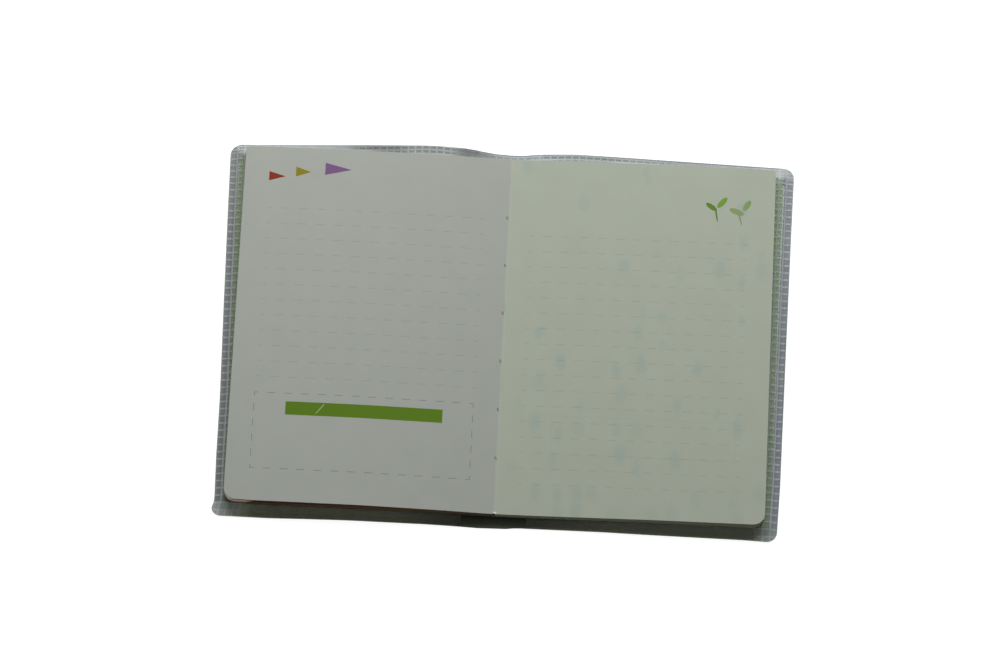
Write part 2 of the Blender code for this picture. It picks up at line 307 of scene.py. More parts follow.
# %% Node helpers
def linear(*rgb):
    """A colour given in 0 to 255 steps, as linear RGBA."""
    values = [c / 255 for c in rgb]
    values = [c / 12.92 if c <= 0.04045 else ((c + 0.055) / 1.055) ** 2.4 for c in values]
    return (*values, 1.0)


def feed(tree, value, socket):
    """Puts a number, a colour or another node's output into a socket."""
    if isinstance(value, bpy.types.NodeSocket):
        tree.links.new(value, socket)
    else:
        socket.default_value = value


def calc(tree, operation, *values, clamp=False):
    """A math node on these values."""
    node = tree.nodes.new("ShaderNodeMath")
    node.operation = operation
    node.use_clamp = clamp
    for value, socket in zip(values, node.inputs):
        feed(tree, value, socket)
    return node.outputs[0]


def within(tree, value, low, high):
    """1 where the value lies between low and high, else 0."""
    above = calc(tree, "GREATER_THAN", value, low)
    return calc(tree, "MULTIPLY", above, calc(tree, "LESS_THAN", value, high))


def either(tree, *masks):
    """The largest of several masks."""
    result = masks[0]
    for mask in masks[1:]:
        result = calc(tree, "MAXIMUM", result, mask)
    return result


def both(tree, *masks):
    """The product of several masks."""
    result = masks[0]
    for mask in masks[1:]:
        result = calc(tree, "MULTIPLY", result, mask)
    return result


def mixed(tree, share, first, second, kind="MIX"):
    """A colour between first and second."""
    node = tree.nodes.new("ShaderNodeMix")
    node.data_type = "RGBA"
    node.blend_type = kind
    feed(tree, share, node.inputs[0])
    feed(tree, first, node.inputs[6])
    feed(tree, second, node.inputs[7])
    return node.outputs[2]


def flat_position(tree):
    """The flat x and y of a sheet, in millimetres."""
    place = tree.nodes.new("ShaderNodeUVMap")
    place.uv_map = "flat"
    split = tree.nodes.new("ShaderNodeSeparateXYZ")
    tree.links.new(place.outputs[0], split.inputs[0])
    x, y = (calc(tree, "MULTIPLY", metres, 1 / MM) for metres in split.outputs[:2])
    return place.outputs[0], x, y


def noise(tree, place, scale, detail=2.0, roughness=0.5):
    """A noise value around 0.5. The scale counts grains per metre."""
    node = tree.nodes.new("ShaderNodeTexNoise")
    tree.links.new(place, node.inputs["Vector"])
    node.inputs["Scale"].default_value = scale
    node.inputs["Detail"].default_value = detail
    node.inputs["Roughness"].default_value = roughness
    return node.outputs[0]


def spread(tree, value, from_low, from_high, to_low, to_high):
    """Maps one range of values on to another and stops at its ends."""
    node = tree.nodes.new("ShaderNodeMapRange")
    feed(tree, value, node.inputs[0])
    for socket, number in zip(node.inputs[1:5], (from_low, from_high, to_low, to_high)):
        socket.default_value = number
    return node.outputs[0]


def grey(tree, value):
    """A colour whose three channels are this value."""
    node = tree.nodes.new("ShaderNodeCombineXYZ")
    for socket in node.inputs:
        tree.links.new(value, socket)
    return node.outputs[0]


def new_material(name, roughness, specular):
    material = bpy.data.materials.new(name)
    material.use_nodes = True
    shader = material.node_tree.nodes["Principled BSDF"]
    shader.inputs["Roughness"].default_value = roughness
    shader.inputs["Specular IOR Level"].default_value = specular
    return material, material.node_tree, shader


def add_bump(tree, shader, height, distance, strength=1.0):
    node = tree.nodes.new("ShaderNodeBump")
    node.inputs["Strength"].default_value = strength
    node.inputs["Distance"].default_value = distance
    tree.links.new(height, node.inputs["Height"])
    tree.links.new(node.outputs[0], shader.inputs["Normal"])


print("a mid grey in linear light:", round(linear(128, 128, 128)[0], 3))

# %% [markdown]
# Paper
#
# Notebook paper is matt and a little uneven: the pulp shows as faint clouds, and the felt leaves a fine
# tooth. The stock has a slight yellow-green cast. All paper finishes below start from the same pulp, which
# is a mix of two noises, one for the clouds and one for the grain. The print is then laid over it. A dashed
# line is the same test twice: how far a point is from the line, and how far it is from a dash along it.

# %% Paper pulp and dashed rules
def pulp(tree, place, colour):
    """The colour of plain paper with faint clouds in it."""
    clouds = noise(tree, place, 90.0, 3.0)
    grains = noise(tree, place, 1400.0, 2.0)
    uneven = calc(tree, "ADD", calc(tree, "MULTIPLY", clouds, 0.7), calc(tree, "MULTIPLY", grains, 0.3))
    shade = spread(tree, uneven, 0.3, 0.7, 0.975, 1.02)
    return mixed(tree, 1.0, colour, grey(tree, shade), "MULTIPLY")


def paper_tooth(tree, place, shader):
    add_bump(tree, shader, noise(tree, place, 2600.0, 3.0, 0.6), 0.00002, 0.5)


# Inner and outer end of a rule, first rule below the head, pitch of the rules and their number.
RULES = {-1: (9.1, 95.05, 25.9, 6.46, 12), 1: (8.75, 94.6, 32.3, 6.45, 17)}
DASHES_ON_RULE = 12
RULE_DASH = 3.5
LINE = 0.3
PAGE_HEAD = PAGES_UP + PAGE_HALF_HEIGHT


def dashes(tree, along, start, length, pitch):
    """1 on each dash of a line. The first dash is cut in half at the start."""
    phase = calc(tree, "DIVIDE", calc(tree, "SUBTRACT", along, start), pitch)
    away = calc(tree, "ABSOLUTE", calc(tree, "SUBTRACT", phase, calc(tree, "ROUND", phase)))
    return calc(tree, "LESS_THAN", away, length / 2 / pitch)


def thin_line(tree, value, place, thickness=LINE):
    """1 where the value is less than half the thickness away from the place."""
    away = calc(tree, "ABSOLUTE", calc(tree, "SUBTRACT", value, place))
    return calc(tree, "LESS_THAN", away, thickness / 2)


def rules(tree, across, down, side):
    """Dashed writing lines: half a dash at both ends and eleven whole ones between."""
    inner, outer, first, step, count = RULES[side]
    phase = calc(tree, "DIVIDE", calc(tree, "SUBTRACT", down, first), step)
    row = calc(tree, "ROUND", phase)
    away = calc(tree, "MULTIPLY", calc(tree, "ABSOLUTE", calc(tree, "SUBTRACT", phase, row)), step)
    on_line = calc(tree, "LESS_THAN", away, LINE / 2)
    in_rows = within(tree, row, -0.5, count - 0.5)
    in_width = within(tree, across, inner, outer)
    on_dash = dashes(tree, across, inner, RULE_DASH, (outer - inner) / DASHES_ON_RULE)
    return both(tree, on_line, in_rows, in_width, on_dash)


def page_position(tree, side):
    """Distances across from the gutter and down from the head of the page."""
    place, x, y = flat_position(tree)
    return place, calc(tree, "MULTIPLY", x, float(side)), calc(tree, "SUBTRACT", PAGE_HEAD, y)


def ink(tree, mask, paper, shade):
    """Ink that darkens the paper where the mask is 1."""
    tint = tree.nodes.new("ShaderNodeCombineXYZ")
    for socket, value in zip(tint.inputs, shade):
        socket.default_value = value
    return mixed(tree, mask, paper, mixed(tree, 1.0, paper, tint.outputs[0], "MULTIPLY"))


print("dash pitch in mm:", [round((r[1] - r[0]) / DASHES_ON_RULE, 2) for r in RULES.values()])

# %% [markdown]
# Shapes on the page
#
# Small ornaments stand in the corners at the head: three plain pennants on the left, and leaves on a stem
# on the right. They are drawn from the simplest shapes, triangles and ovals. Each is a test on the distance
# across and down the page, so its edge stays sharp at any zoom, which a picture laid on the page wouldn't.

# %% Pennants and ovals
def triangle(tree, across, down, x0, x1, middle, half):
    """A pennant that points away from x0: 1 inside."""
    share = calc(tree, "DIVIDE", calc(tree, "SUBTRACT", across, x0), x1 - x0)
    reach = calc(tree, "MULTIPLY", calc(tree, "SUBTRACT", 1.0, share), half)
    offset = calc(tree, "ABSOLUTE", calc(tree, "SUBTRACT", down, middle))
    return both(tree, within(tree, share, 0.0, 1.0), calc(tree, "LESS_THAN", offset, reach))


def in_unit_circle(tree, u, v):
    """1 inside a circle of radius 1 round the middle of u and v."""
    square = calc(tree, "ADD", calc(tree, "POWER", u, 2.0), calc(tree, "POWER", v, 2.0))
    return calc(tree, "LESS_THAN", square, 1.0)


def oval(tree, across, down, x, y, long, short, turn=0):
    """An oval leaf: 1 inside."""
    dx, dy = calc(tree, "SUBTRACT", across, x), calc(tree, "SUBTRACT", down, y)
    cosine, sine = math.cos(math.radians(turn)), math.sin(math.radians(turn))
    u = calc(tree, "ADD", calc(tree, "MULTIPLY", dx, cosine), calc(tree, "MULTIPLY", dy, sine))
    v = calc(tree, "SUBTRACT", calc(tree, "MULTIPLY", dy, cosine), calc(tree, "MULTIPLY", dx, sine))
    return in_unit_circle(tree, calc(tree, "DIVIDE", u, long), calc(tree, "DIVIDE", v, short))


print("tests for shapes on a page:", [test.__name__ for test in (triangle, oval)])

# %% [markdown]
# The left page
#
# The left page has twelve dashed writing lines and, near the tail, a dashed box. In the box lies a green
# bar that a thin pale slash divides. A painted shade darkens the paper a little towards the gutter, where
# it sinks. One pricked hole beside the fold marks each stitch of the sewing, painted as a small dark oval
# of shade. The page could be one picture, but built from tests its lines keep their sharp edges, and each
# measure can be changed by itself.

# %% Left page finish
LEFT_PAPER = linear(163, 167, 160)
RIGHT_PAPER = linear(165, 172, 157)
RULE_INK = (0.84, 0.84, 0.85)
BOX_INK = (0.62, 0.63, 0.62)
BOX_ACROSS, BOX_DOWN = (9.95, 95.25), (103.65, 134.9)
BOX_DASHES_ACROSS, BOX_DASHES_DOWN = 13, 5
BOX_LINE, BOX_DASH = 0.3, 3.1
BAR_ACROSS, BAR_DOWN = (21.7, 82.9), (107.0, 112.5)
SLASH_ACROSS, SLASH_DOWN, SLASH_MIDDLE = 69.4, (107.6, 111.5), 109.55
SLASH_SLOPE, SLASH_HALF = 0.76, 0.24
STITCH_PITCH = 20.1
STITCHES = 6
FIRST_HOLE_DOWN = 24.7
HOLE_ACROSS, HOLE_HALF_WIDTH, HOLE_HALF_LENGTH = 0.36, 0.27, 0.7
# Painted shade: each hole is a dark oval that stands for the shade inside it.
HOLE_SHADE_INK = (0.42, 0.44, 0.42)

# Base and tip across the page, middle down the page, half height and paint of each pennant.
PENNANTS = (
    ((95.0, 88.5, 12.4, 2.0), linear(128, 52, 38)),
    ((84.5, 78.5, 10.2, 2.1), linear(132, 122, 36)),
    ((73.0, 62.5, 8.6, 2.6), linear(116, 88, 126)),
)


def box_sides(tree, value, ends, along, reach, count):
    """The two sides of a dashed box that run along one direction."""
    low, high = (thin_line(tree, value, end, BOX_LINE) for end in ends)
    start, end = reach
    inside = within(tree, along, start - BOX_LINE / 2, end + BOX_LINE / 2)
    on_dash = dashes(tree, along, start, BOX_DASH, (end - start) / count)
    return both(tree, either(tree, low, high), inside, on_dash)


def dashed_box(tree, across, down):
    """A box of dashes whose corners are small angles: half a dash along each side."""
    level = box_sides(tree, down, BOX_DOWN, across, BOX_ACROSS, BOX_DASHES_ACROSS)
    upright = box_sides(tree, across, BOX_ACROSS, down, BOX_DOWN, BOX_DASHES_DOWN)
    return either(tree, level, upright)


def slash(tree, across, down):
    """A thin slanted stroke through the bar."""
    drop = calc(tree, "SUBTRACT", down, SLASH_MIDDLE)
    middle = calc(tree, "ADD", SLASH_ACROSS, calc(tree, "MULTIPLY", drop, SLASH_SLOPE))
    return both(tree, thin_line(tree, across, middle, 2 * SLASH_HALF), within(tree, down, *SLASH_DOWN))


def sewing_holes(tree, across, down):
    """The pricked holes beside the gutter, one at every stitch, painted as dark ovals of shade."""
    phase = calc(tree, "DIVIDE", calc(tree, "SUBTRACT", down, FIRST_HOLE_DOWN), STITCH_PITCH)
    row = calc(tree, "ROUND", phase)
    off = calc(tree, "MULTIPLY", calc(tree, "SUBTRACT", phase, row), STITCH_PITCH)
    v = calc(tree, "DIVIDE", off, HOLE_HALF_LENGTH)
    u = calc(tree, "DIVIDE", calc(tree, "SUBTRACT", across, HOLE_ACROSS), HOLE_HALF_WIDTH)
    return both(tree, in_unit_circle(tree, u, v), within(tree, row, -0.5, STITCHES - 0.5))


def left_page_finish():
    material, tree, shader = new_material("left_page_print", 0.9, 0.1)
    place, across, down = page_position(tree, -1)
    # Painted shade: the paper darkens a little towards the gutter.
    painted_gutter_shade = grey(tree, spread(tree, across, 5.0, 70.0, 0.95, 0.99))
    colour = mixed(tree, 1.0, pulp(tree, place, LEFT_PAPER), painted_gutter_shade, "MULTIPLY")
    colour = ink(tree, rules(tree, across, down, -1), colour, RULE_INK)
    colour = ink(tree, dashed_box(tree, across, down), colour, BOX_INK)
    bar = both(tree, within(tree, across, *BAR_ACROSS), within(tree, down, *BAR_DOWN))
    colour = mixed(tree, bar, colour, linear(88, 118, 32))
    colour = mixed(tree, slash(tree, across, down), colour, linear(150, 170, 122))
    colour = ink(tree, sewing_holes(tree, across, down), colour, HOLE_SHADE_INK)
    for shape, paint in PENNANTS:
        colour = mixed(tree, triangle(tree, across, down, *shape), colour, paint)
    tree.links.new(colour, shader.inputs["Base Color"])
    paper_tooth(tree, place, shader)
    return material


LEFT_PAGE = left_page_finish()
print("left page:", LEFT_PAGE.name, "with", len(LEFT_PAGE.node_tree.nodes), "nodes")

# %% [markdown]
# The right page
#
# The right page has seventeen writing lines. Soft bluish spots and the faint outline of a box are print
# that shows through from the other side of the sheet. The spots could be painted one by one, but a cell
# pattern spreads them by itself: a random number of each cell says whether its spot is printed, and there
# are more of them towards the tail. A second noise bends the cells, so that no spot is a plain circle.
# Beside the fold a thin line of painted highlight stands for the light the paper catches, with a bright
# painted end at the tail.

# %% Right page finish
SPOT_INK = (0.885, 0.935, 0.985)
BEHIND_INK = (0.965, 0.975, 0.985)
BEHIND_ACROSS, BEHIND_DOWN, BEHIND_LINE = (21.0, 92.7), (107.0, 123.0), 0.5
# Painted highlight: a thin pale line beside the fold and a bright oval at its tail end.
LIT_LINE_ACROSS, LIT_LINE, LIT_LINE_SHARE = 0.75, 0.4, 0.1
LIT_FOLD_END = (0.35, 147.75, 0.9, 0.34)

# Place across and down, long and short half, turn in degrees, and paint of each leaf or stem.
SPRIG = (
    ((80.0, 17.0, 2.6, 1.0, 35), linear(94, 124, 48)),
    ((84.2, 15.0, 2.8, 1.1, -50), linear(110, 146, 64)),
    ((82.0, 20.0, 3.2, 0.35, 80), linear(98, 118, 70)),
    ((90.0, 18.6, 3.0, 1.2, 20), linear(132, 147, 102)),
    ((94.0, 15.8, 2.6, 1.1, -60), linear(126, 148, 92)),
    ((91.4, 21.4, 3.0, 0.3, 75), linear(126, 140, 98)),
)


def spots_from_behind(tree, place, down):
    """Soft spots of print that shines through from the back of the sheet, more of them towards the tail."""
    stretch = tree.nodes.new("ShaderNodeVectorMath")
    stretch.operation = "MULTIPLY"
    stretch.inputs[1].default_value = (128.0, 76.0, 1.0)
    tree.links.new(place, stretch.inputs[0])
    ragged = tree.nodes.new("ShaderNodeTexNoise")
    ragged.inputs["Scale"].default_value = 420.0
    tree.links.new(place, ragged.inputs["Vector"])
    bent = tree.nodes.new("ShaderNodeVectorMath")
    bent.operation = "MULTIPLY_ADD"
    bent.inputs[1].default_value = (0.45, 0.45, 0.0)
    tree.links.new(ragged.outputs["Color"], bent.inputs[0])
    tree.links.new(stretch.outputs[0], bent.inputs[2])
    cells = tree.nodes.new("ShaderNodeTexVoronoi")
    cells.voronoi_dimensions = "2D"
    cells.inputs["Scale"].default_value = 1.0
    cells.inputs["Randomness"].default_value = 0.9
    tree.links.new(bent.outputs[0], cells.inputs["Vector"])
    pick = tree.nodes.new("ShaderNodeSeparateColor")
    tree.links.new(cells.outputs["Color"], pick.inputs[0])
    size = calc(tree, "ADD", 0.22, calc(tree, "MULTIPLY", pick.outputs[1], 0.2))
    edge = calc(tree, "DIVIDE", cells.outputs["Distance"], size)
    spot = spread(tree, edge, 0.45, 1.1, 1.0, 0.0)
    shown = calc(tree, "LESS_THAN", pick.outputs[0], spread(tree, down, 10.0, 150.0, 0.14, 0.52))
    return both(tree, spot, shown, spread(tree, pick.outputs[2], 0.0, 1.0, 0.45, 1.0))


def box_from_behind(tree, across, down):
    """The faint outline of a box that is printed on the other side of the sheet."""
    level = either(tree, *(thin_line(tree, down, edge, BEHIND_LINE) for edge in BEHIND_DOWN))
    upright = either(tree, *(thin_line(tree, across, edge, BEHIND_LINE) for edge in BEHIND_ACROSS))
    level = both(tree, level, within(tree, across, *BEHIND_ACROSS))
    return either(tree, level, both(tree, upright, within(tree, down, *BEHIND_DOWN)))


def right_page_finish():
    material, tree, shader = new_material("right_page_print", 0.9, 0.1)
    place, across, down = page_position(tree, 1)
    fold = calc(tree, "LESS_THAN", across, spread(tree, down, 20.0, 90.0, 0.5, 0.0))
    colour = mixed(tree, fold, pulp(tree, place, RIGHT_PAPER), pulp(tree, place, LEFT_PAPER))
    line = thin_line(tree, across, LIT_LINE_ACROSS, LIT_LINE)
    colour = mixed(tree, calc(tree, "MULTIPLY", line, LIT_LINE_SHARE), colour, linear(196, 200, 184))
    colour = ink(tree, spots_from_behind(tree, place, down), colour, SPOT_INK)
    colour = mixed(tree, oval(tree, across, down, *LIT_FOLD_END), colour, linear(214, 218, 204))
    colour = ink(tree, box_from_behind(tree, across, down), colour, BEHIND_INK)
    colour = ink(tree, rules(tree, across, down, 1), colour, RULE_INK)
    for shape, paint in SPRIG:
        colour = mixed(tree, oval(tree, across, down, *shape), colour, paint)
    tree.links.new(colour, shader.inputs["Base Color"])
    paper_tooth(tree, place, shader)
    return material


RIGHT_PAGE = right_page_finish()
print("right page:", RIGHT_PAGE.name, "with", len(RIGHT_PAGE.node_tree.nodes), "nodes")

# %% [markdown]
# Pages below, and their edges
#
# The pages under the top ones only need their writing lines. The trimmed edge of the block is what the eye
# meets at the tail: dull, with fine streaks, so its noise is stretched along the height. On the right half
# it is set lighter than the page paper, as painted light that makes up for the dark between the leaves. On
# the left half it isn't one colour. The lower leaves look olive, those above them kraft brown, and the
# topmost are a darker brown of painted shade, for the shade of the page above. At the corner of the tail a
# pale patch is painted light, where the lamp reaches round the page. The bounds between them are heights
# that change across the book.

# %% Ruled pages and trimmed edges
def ruled_finish(name, side):
    """The pages under the top ones: writing lines only."""
    material, tree, shader = new_material(name, 0.9, 0.1)
    place, across, down = page_position(tree, side)
    paper = pulp(tree, place, RIGHT_PAPER)
    if side < 0:
        beyond_tail = spread(tree, down, 148.0, 148.2, 0.0, 1.0)
        paper = mixed(tree, beyond_tail, paper, linear(140, 120, 104))
    colour = ink(tree, rules(tree, across, down, 1), paper, RULE_INK)
    tree.links.new(colour, shader.inputs["Base Color"])
    paper_tooth(tree, place, shader)
    return material


def brown_leaves(tree, where, streaks, colour):
    """The left half's edge: olive below, kraft brown above, painted shade under the top page, painted light
    at the corner.
    """
    _, x, y = flat_position(tree)
    split = tree.nodes.new("ShaderNodeSeparateXYZ")
    tree.links.new(where, split.inputs[0])
    height = calc(tree, "MULTIPLY", split.outputs[2], 1 / MM)
    over_kraft = calc(tree, "GREATER_THAN", height, spread(tree, x, -90.0, -45.0, 0.2, 3.2))
    over_shade = calc(tree, "GREATER_THAN", height, spread(tree, x, -90.0, -40.0, 3.8, 5.4))
    kraft = mixed(tree, streaks, linear(158, 124, 90), linear(176, 140, 106))
    colour = mixed(tree, over_kraft, colour, kraft)
    # Painted shade: the topmost leaves get a darker brown under the page above.
    colour = mixed(tree, over_shade, colour, linear(116, 78, 56))
    # Painted light: a pale patch at the tail corner, where the lamp reaches round the page.
    corner = both(tree, spread(tree, x, -96.2, -95.4, 1.0, 0.0), spread(tree, y, -68.0, -64.0, 1.0, 0.0))
    return mixed(tree, corner, colour, linear(226, 190, 166))


def edge_finish(name, dark, light, brown=False):
    """The trimmed edge of the block: dull, with the streaks that a guillotine leaves."""
    material, tree, shader = new_material(name, 0.95, 0.05)
    where = tree.nodes.new("ShaderNodeTexCoord")
    stretch = tree.nodes.new("ShaderNodeVectorMath")
    stretch.operation = "MULTIPLY"
    stretch.inputs[1].default_value = (1.0, 1.0, 12.0)
    tree.links.new(where.outputs["Object"], stretch.inputs[0])
    streaks = spread(tree, noise(tree, stretch.outputs[0], 700.0, 3.0), 0.3, 0.7, 0.0, 1.0)
    colour = mixed(tree, streaks, dark, light)
    if brown:
        colour = brown_leaves(tree, where.outputs["Object"], streaks, colour)
    tree.links.new(colour, shader.inputs["Base Color"])
    paper_tooth(tree, where.outputs["Object"], shader)
    return material


RULED = {-1: ruled_finish("ruled_page_left", -1), 1: ruled_finish("ruled_page_right", 1)}
EDGE = {
    -1: edge_finish("trimmed_edge_left", linear(140, 142, 98), linear(156, 158, 112), brown=True),
    # The right edge is lighter than the page paper: painted light for the dark between the leaves.
    1: edge_finish("trimmed_edge_right", linear(206, 206, 176), linear(228, 228, 196)),
}
print("ruled pages and edges:", [m.name for m in (*RULED.values(), *EDGE.values())])

# %% [markdown]
# The centre sheet
#
# The book is open at the middle of its centre section, so the two pages in view are the halves of one
# sheet. In the frame each half turns by itself, so it is made as two leaves that meet in the gutter, and a
# narrow strip between them is the fold.

# %% Centre leaves and their fold
LEFT_PAGE_SHORTER = 0.3


def page_sheet(
    side, bottom, top, rows, inner=LEAF_INNER, outer=PAGE_WIDTH, half=PAGE_HALF_HEIGHT, middle=PAGES_UP
):
    """A flat page on one side, as upper points, lower points and flat place."""
    outer = outer - LEFT_PAGE_SHORTER if side < 0 else outer
    columns = stations(inner, outer, TAIL_CORNER)
    y = page_rows(outer - columns, side, half, middle, rows)
    x = np.repeat((columns * side)[:, None], rows, axis=1)
    upper = np.stack((x, y, lie(x, y, top)), axis=-1)
    lower = np.stack((x, y, lie(x, y, bottom)), axis=-1)
    return upper, lower, np.stack((x, y), axis=-1)


LEAF_BOTTOM, LEAF_TOP = 6.14, TOP_OF_LEAVES
LEAF_ROWS = 41
FOLD_REACH, FOLD_COLUMNS = 0.29, 7
BODIES = {-1: "front_half", 1: "back_half"}
WORDS = {-1: "front", 1: "back"}


def add_centre_leaf(side, finish):
    word = WORDS[side]
    sheet = page_sheet(side, LEAF_BOTTOM, LEAF_TOP, LEAF_ROWS)
    leaf = add_sheets(f"centre_leaf_{word}_page", [sheet], [finish, RULED[side], EDGE[side]])
    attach(leaf, f"leaf_{word}")
    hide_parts(f"centre_leaf_{word}")
    return leaf


def add_centre_fold():
    """The strip between the leaves. It carries the right page's print."""
    x = np.linspace(-FOLD_REACH, FOLD_REACH, FOLD_COLUMNS)[:, None]
    y = PAGES_UP + np.linspace(-1, 1, LEAF_ROWS)[None, :] * PAGE_HALF_HEIGHT
    x, y = np.broadcast_arrays(x, y)
    upper = np.stack((x, y, lie(x, y, LEAF_TOP)), axis=-1)
    lower = np.stack((x, y, lie(x, y, LEAF_BOTTOM)), axis=-1)
    strip = (upper, lower, np.stack((x, y), axis=-1))
    fold = add_sheets("centre_sheet_fold", [strip], [RIGHT_PAGE, RULED[1], EDGE[1]])
    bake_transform(fold)
    return fold


leaves = [add_centre_leaf(-1, LEFT_PAGE), add_centre_leaf(1, RIGHT_PAGE), add_centre_fold()]
print("centre sheet:", [len(o.data.polygons) for o in leaves], "faces")

# %% [markdown]
# Folded sections
#
# Under the centre sheet lie the sections: gatherings of four sheets, nested and folded once, with their
# folds at the gutter. From the tail you look at their edges, so every sheet is made by itself. Its path
# runs in along the lower limb, round the fold and out along the upper limb. Trimming leaves the sheets
# nearly flush, and a seeded random step of a fraction of a millimetre keeps the block from looking sawn.
# The lower sheets of the centre section lie flat. One of them, under the left page, sticks out at the
# corner of the tail by less than a millimetre, as a sheet does that was folded a little askew.

# %% Sections of nested sheets
SHEET = 0.085
NEST = 0.1
FOLD_CENTRE = 0.98
FOLD_TURNS = np.radians((75, 50, 25, 0, -25, -50, -75))
SHEETS_PER_SECTION = 4
SECTIONS_PER_HALF = 4
FIRST_SECTION_BOTTOM, SECTION_STEP, SECTION_HEIGHT = 1.88, 0.96, 0.88
CENTRE_SHEETS, CENTRE_BOTTOM, CENTRE_STEP, CENTRE_SHEET = 3, 5.72, 0.115, 0.09
CENTRE_INNER, CENTRE_ROWS = 0.35, 9
ASKEW, ASKEW_FROM, ASKEW_OVER = 0.85, 92, 3
TRIM_REACH, TRIM_SHORT, TRIM_SHIFT = 0.25, 0.1, 0.16
chance = np.random.default_rng(7)


def folded_sheet(side, bottom, top, thickness, outer, half, middle, rows=5):
    """A sheet folded once: its limbs lie from bottom and up to top, and its fold faces the gutter."""
    centre_z, radius = (bottom + top) / 2, (top - bottom) / 2 - thickness / 2
    limb = stations(FOLD_CENTRE, outer, TAIL_CORNER)
    level, flat = np.ones(len(limb)), np.zeros(len(limb))
    path_x = np.concatenate((limb[::-1], FOLD_CENTRE - radius * np.cos(FOLD_TURNS), limb))
    out_x = np.concatenate((flat, -np.cos(FOLD_TURNS), flat))
    out_z = np.concatenate((-level, -np.sin(FOLD_TURNS), level))
    path_z = centre_z + radius * out_z
    y = page_rows(outer - path_x, side, half, middle, rows)
    faces = []
    for way in (0.5, -0.5):
        x = np.repeat(((path_x + out_x * thickness * way) * side)[:, None], rows, axis=1)
        z = np.repeat((path_z + out_z * thickness * way)[:, None], rows, axis=1)
        faces.append(np.stack((x, y, lie(x, y, z)), axis=-1))
    flat_x = np.repeat((path_x * side)[:, None], rows, axis=1)
    return faces[0], faces[1], np.stack((flat_x, y), axis=-1)


def trimmed():
    """Small differences between sheets: reach, half height and middle."""
    reach, short, shift = chance.uniform(0, 1, 3)
    half = PAGE_HALF_HEIGHT - TRIM_SHORT * short
    return PAGE_WIDTH - TRIM_REACH * reach, half, PAGES_UP + TRIM_SHIFT * (shift - 0.5)


def add_section(side, number, level):
    bottom = FIRST_SECTION_BOTTOM + SECTION_STEP * level
    sheets = []
    for nest in range(SHEETS_PER_SECTION):
        low, high = bottom + NEST * nest, bottom + SECTION_HEIGHT - NEST * nest
        sheets.append(folded_sheet(side, low, high, SHEET, *trimmed()))
    section = add_sheets(f"section_{number:02d}_sheets", sheets, [RULED[side], RULED[side], EDGE[side]])
    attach(section, BODIES[side])
    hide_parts(f"section_{number:02d}")
    return section


def add_centre_half(side):
    """The lower sheets of the section the book is open at."""
    sheets = []
    for level in range(CENTRE_SHEETS):
        outer, half, middle = trimmed()
        bottom = CENTRE_BOTTOM + CENTRE_STEP * level
        top_left = side < 0 and level == CENTRE_SHEETS - 1
        if top_left:
            half, middle = PAGE_HALF_HEIGHT, PAGES_UP
        top = bottom + CENTRE_SHEET
        sheet = page_sheet(side, bottom, top, CENTRE_ROWS, CENTRE_INNER, outer, half, middle)
        if top_left:
            for points in sheet:
                points[:, 0, 1] -= ASKEW * np.clip((-points[:, 0, 0] - ASKEW_FROM) / ASKEW_OVER, 0, 1)
        sheets.append(sheet)
    piece = add_sheets(f"section_05_{WORDS[side]}_sheets", sheets, [RULED[side], RULED[side], EDGE[side]])
    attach(piece, BODIES[side])
    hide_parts(f"section_05_{WORDS[side]}_half")
    return piece


sections = []
for level in range(SECTIONS_PER_HALF):
    sections.append(add_section(-1, level + 1, level))
    sections.append(add_section(1, 2 * SECTIONS_PER_HALF + 1 - level, level))
sections += [add_centre_half(side) for side in (-1, 1)]
print("section pieces:", len(sections), "with", sum(len(o.data.polygons) for o in sections), "faces")

# %% [markdown]
# Endpapers
#
# A folded sheet joins the block to each board: one limb is glued to the card, the other is the free
# flyleaf. It is a warm, reddish brown stock, a little heavier than the pages. Coloured paper shows its
# fibres more, so the noise is finer and stronger. The helper for folded sheets makes this piece too.

# %% Endpapers
def endpaper_finish():
    material, tree, shader = new_material("brown_endpaper", 0.9, 0.1)
    place, _, _ = flat_position(tree)
    fibres = spread(tree, noise(tree, place, 900.0, 4.0, 0.65), 0.3, 0.7, 0.0, 1.0)
    colour = mixed(tree, fibres, linear(112, 84, 66), linear(134, 104, 84))
    tree.links.new(colour, shader.inputs["Base Color"])
    paper_tooth(tree, place, shader)
    return material


ENDPAPER = endpaper_finish()
ENDPAPER_BOTTOM, ENDPAPER_TOP, ENDPAPER_SHEET = 1.05, 1.80, 0.15
ENDPAPER_SHORT, ENDPAPER_ROWS = 0.1, 9


def add_endpaper(side):
    half = PAGE_HALF_HEIGHT - ENDPAPER_SHORT
    levels = (ENDPAPER_BOTTOM, ENDPAPER_TOP, ENDPAPER_SHEET)
    sheet = folded_sheet(side, *levels, PAGE_WIDTH, half, PAGES_UP, rows=ENDPAPER_ROWS)
    piece = add_sheets(f"endpaper_{WORDS[side]}_sheet", [sheet], [ENDPAPER])
    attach(piece, BODIES[side])
    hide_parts(f"endpaper_{WORDS[side]}")
    return piece


endpapers = [add_endpaper(side) for side in (-1, 1)]
print("endpapers:", [o.name for o in endpapers])

# %% [markdown]
# The card cover
#
# The card is one stiff green sheet, scored and bent round the spine. It reaches one to three millimetres
# past the pages at the fore edges. Its corners are rounded at the head and nearly square at the tail.
# It is a single sheet that bends between the halves. The colour is dyed through, so the cut edge has it
# too, and pressing leaves a fine mottle. The back board is a little lighter than the front one, and a
# painted shade darkens both towards the tail.

# %% Card cover
CARD_FORE_EDGE = {-1: (105.7, 107.5), 1: (107.2, 108.3)}
CARD_REACH = 107.0
CARD_HEAD_CORNER, CARD_TAIL_CORNER = 3.6, 0.6
CARD_BOTTOM, CARD_TOP = 0.45, 0.95
CARD_ROWS = 21
FRONT_CARD = (linear(154, 188, 108), linear(160, 195, 115))
BACK_CARD = (linear(168, 201, 124), linear(174, 208, 131))


def front_to_back(tree, x):
    """0 on the front half and 1 on the back half, with a soft change at the spine."""
    return spread(tree, x, -5.0, 5.0, 0.0, 1.0)


